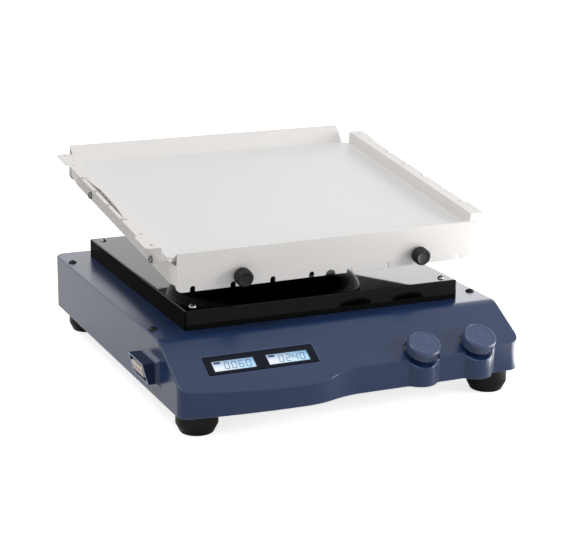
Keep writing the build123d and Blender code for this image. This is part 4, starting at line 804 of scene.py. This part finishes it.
def prism(mesh, outline, bottom, top):
    """Adds an upright prism over an outline of (x, y) points, in mm on the panel."""
    rings = [[mesh.verts.new(panel @ (Vector((x, y, z)) * mm)) for x, y in outline]
             for z in (bottom, top)]
    mesh.faces.new(rings[1])
    mesh.faces.new(rings[0][::-1])
    for k in range(len(outline)):
        mesh.faces.new((rings[0][k - 1], rings[0][k], rings[1][k], rings[1][k - 1]))


def bar_outline(start, end):
    """Six corners of a bar with pointed ends between two points, in mm."""
    way = (end - start).normalized()
    side = Vector((-way.y, way.x)) * bar_width / 2
    first, last = start + way * bar_gap, end - way * bar_gap
    inner, outer = way * bar_width / 2, way * -bar_width / 2
    return [first, first + inner - side, last + outer - side, last, last + outer + side,
            first + inner + side]


for side, reading in (("left", "0060"), ("right", "0240")):
    low, high = windows[side]
    ink = bmesh.new()
    ink_bottom, ink_top = (high.z + level for level in ink_levels)
    start = low.x + reading_start
    pitch = (high.x - reading_end - start) / len(reading)
    foot = low.y + (high.y - low.y - digit_height) / 2 - reading_drop
    for index, sign in enumerate(reading):
        for segment in segments_of[sign]:
            ends = []
            for column, row in ends_of[segment]:
                height = row * half
                ends.append(Vector((start + index * pitch + column * digit_width
                                    + height * digit_lean, foot + height)))
            prism(ink, bar_outline(*ends), ink_bottom, ink_top)
    if side == "right":
        for height in (0.3, 0.62):
            x = start + 2 * pitch - 1.5 + height * digit_height * digit_lean
            y = foot + height * digit_height
            prism(ink, [(x, y), (x + dot, y), (x + dot, y + dot), (x, y + dot)],
                  ink_bottom, ink_top)
    piece(ink, f"{side}_digits", crystal_ink, "base", [])
    icon = bmesh.new()
    x, y = low.x + 1.6, high.y - 3.6
    pill = [(x + 0.8, y), (x + 6.2, y), (x + 7.0, y + 0.8), (x + 7.0, y + 1.8), (x + 6.2, y + 2.6),
            (x + 0.8, y + 2.6), (x, y + 1.8), (x, y + 0.8)]
    prism(icon, pill, ink_bottom, ink_top)
    piece(icon, f"{side}_icon", icon_ink, "base", [])
    print(side, "display shows", reading)
bezel_top = extent("display_bezel", panel)[1].z
border = bmesh.new()
for low, high in windows.values():
    left, right = low.x - surround, high.x + surround
    for x0, y0, x1, y1 in ((left, high.y, right, high.y + surround),
                           (left, low.y - surround, right, low.y),
                           (left, low.y, low.x, high.y),
                           (high.x, low.y, right, high.y)):
        prism(border, [(x0, y0), (x1, y0), (x1, y1), (x0, y1)], bezel_top - 0.05,
              bezel_top + 0.03)
piece(border, "pane_surrounds", frame_black, "base", [])
bezel = merged("display_bezel")
rounded(bezel, 0.12)
evened(piece(bezel, "printed_window", window_film, "base", ["display_bezel"]))

# %% [markdown]
# Parts that need no new shape keep their own mesh and only get their material. This table
# gives every remaining part its finish, including the works that show from below or through
# the gaps.

# %% Materials on the remaining parts
finishes = {
    "skirt_screws": dull_zinc, "foot_screws": zinc_plate, "support_screws": zinc_plate,
    "mechanism_screws": zinc_plate, "crank_screw": zinc_plate, "weld_nuts": zinc_plate,
    "left_washer": zinc_plate, "right_washer": zinc_plate, "housing_pillars": bare_aluminium,
    "cover_posts": bare_aluminium, "mechanism_plate": bare_aluminium,
    "mechanism_pillars": bare_aluminium, "bearing_housing": bare_aluminium,
    "shaft_bearings": ground_steel, "guide_fork": bare_aluminium, "motor_bracket": plain_plate,
    "motor_standoffs": bare_aluminium, "motor_body": motor_enamel, "belt": belt_rubber,
    "power_supply": supply_can, "control_board": board_green, "board_standoffs": plain_plate,
    "display_board": board_green, "speed_encoder": plain_plate, "time_encoder": plain_plate,
    "encoder_nuts": zinc_plate, "main_shaft": ground_steel, "driven_pulley": bare_aluminium,
    "crank_hub": plain_plate, "journal_circlip": ground_steel, "motor_shaft": ground_steel,
    "motor_pulley": bare_aluminium, "carrier_bearings": ground_steel,
    "bore_circlips": ground_steel, "guide_pin": ground_steel, "guide_roller": bare_aluminium,
    "speed_spindle": ground_steel, "time_spindle": ground_steel,
}
for name, material in finishes.items():
    part = nodes[name].data
    part.materials.clear()
    part.materials.append(material)
print(len(finishes), "parts keep their own mesh")
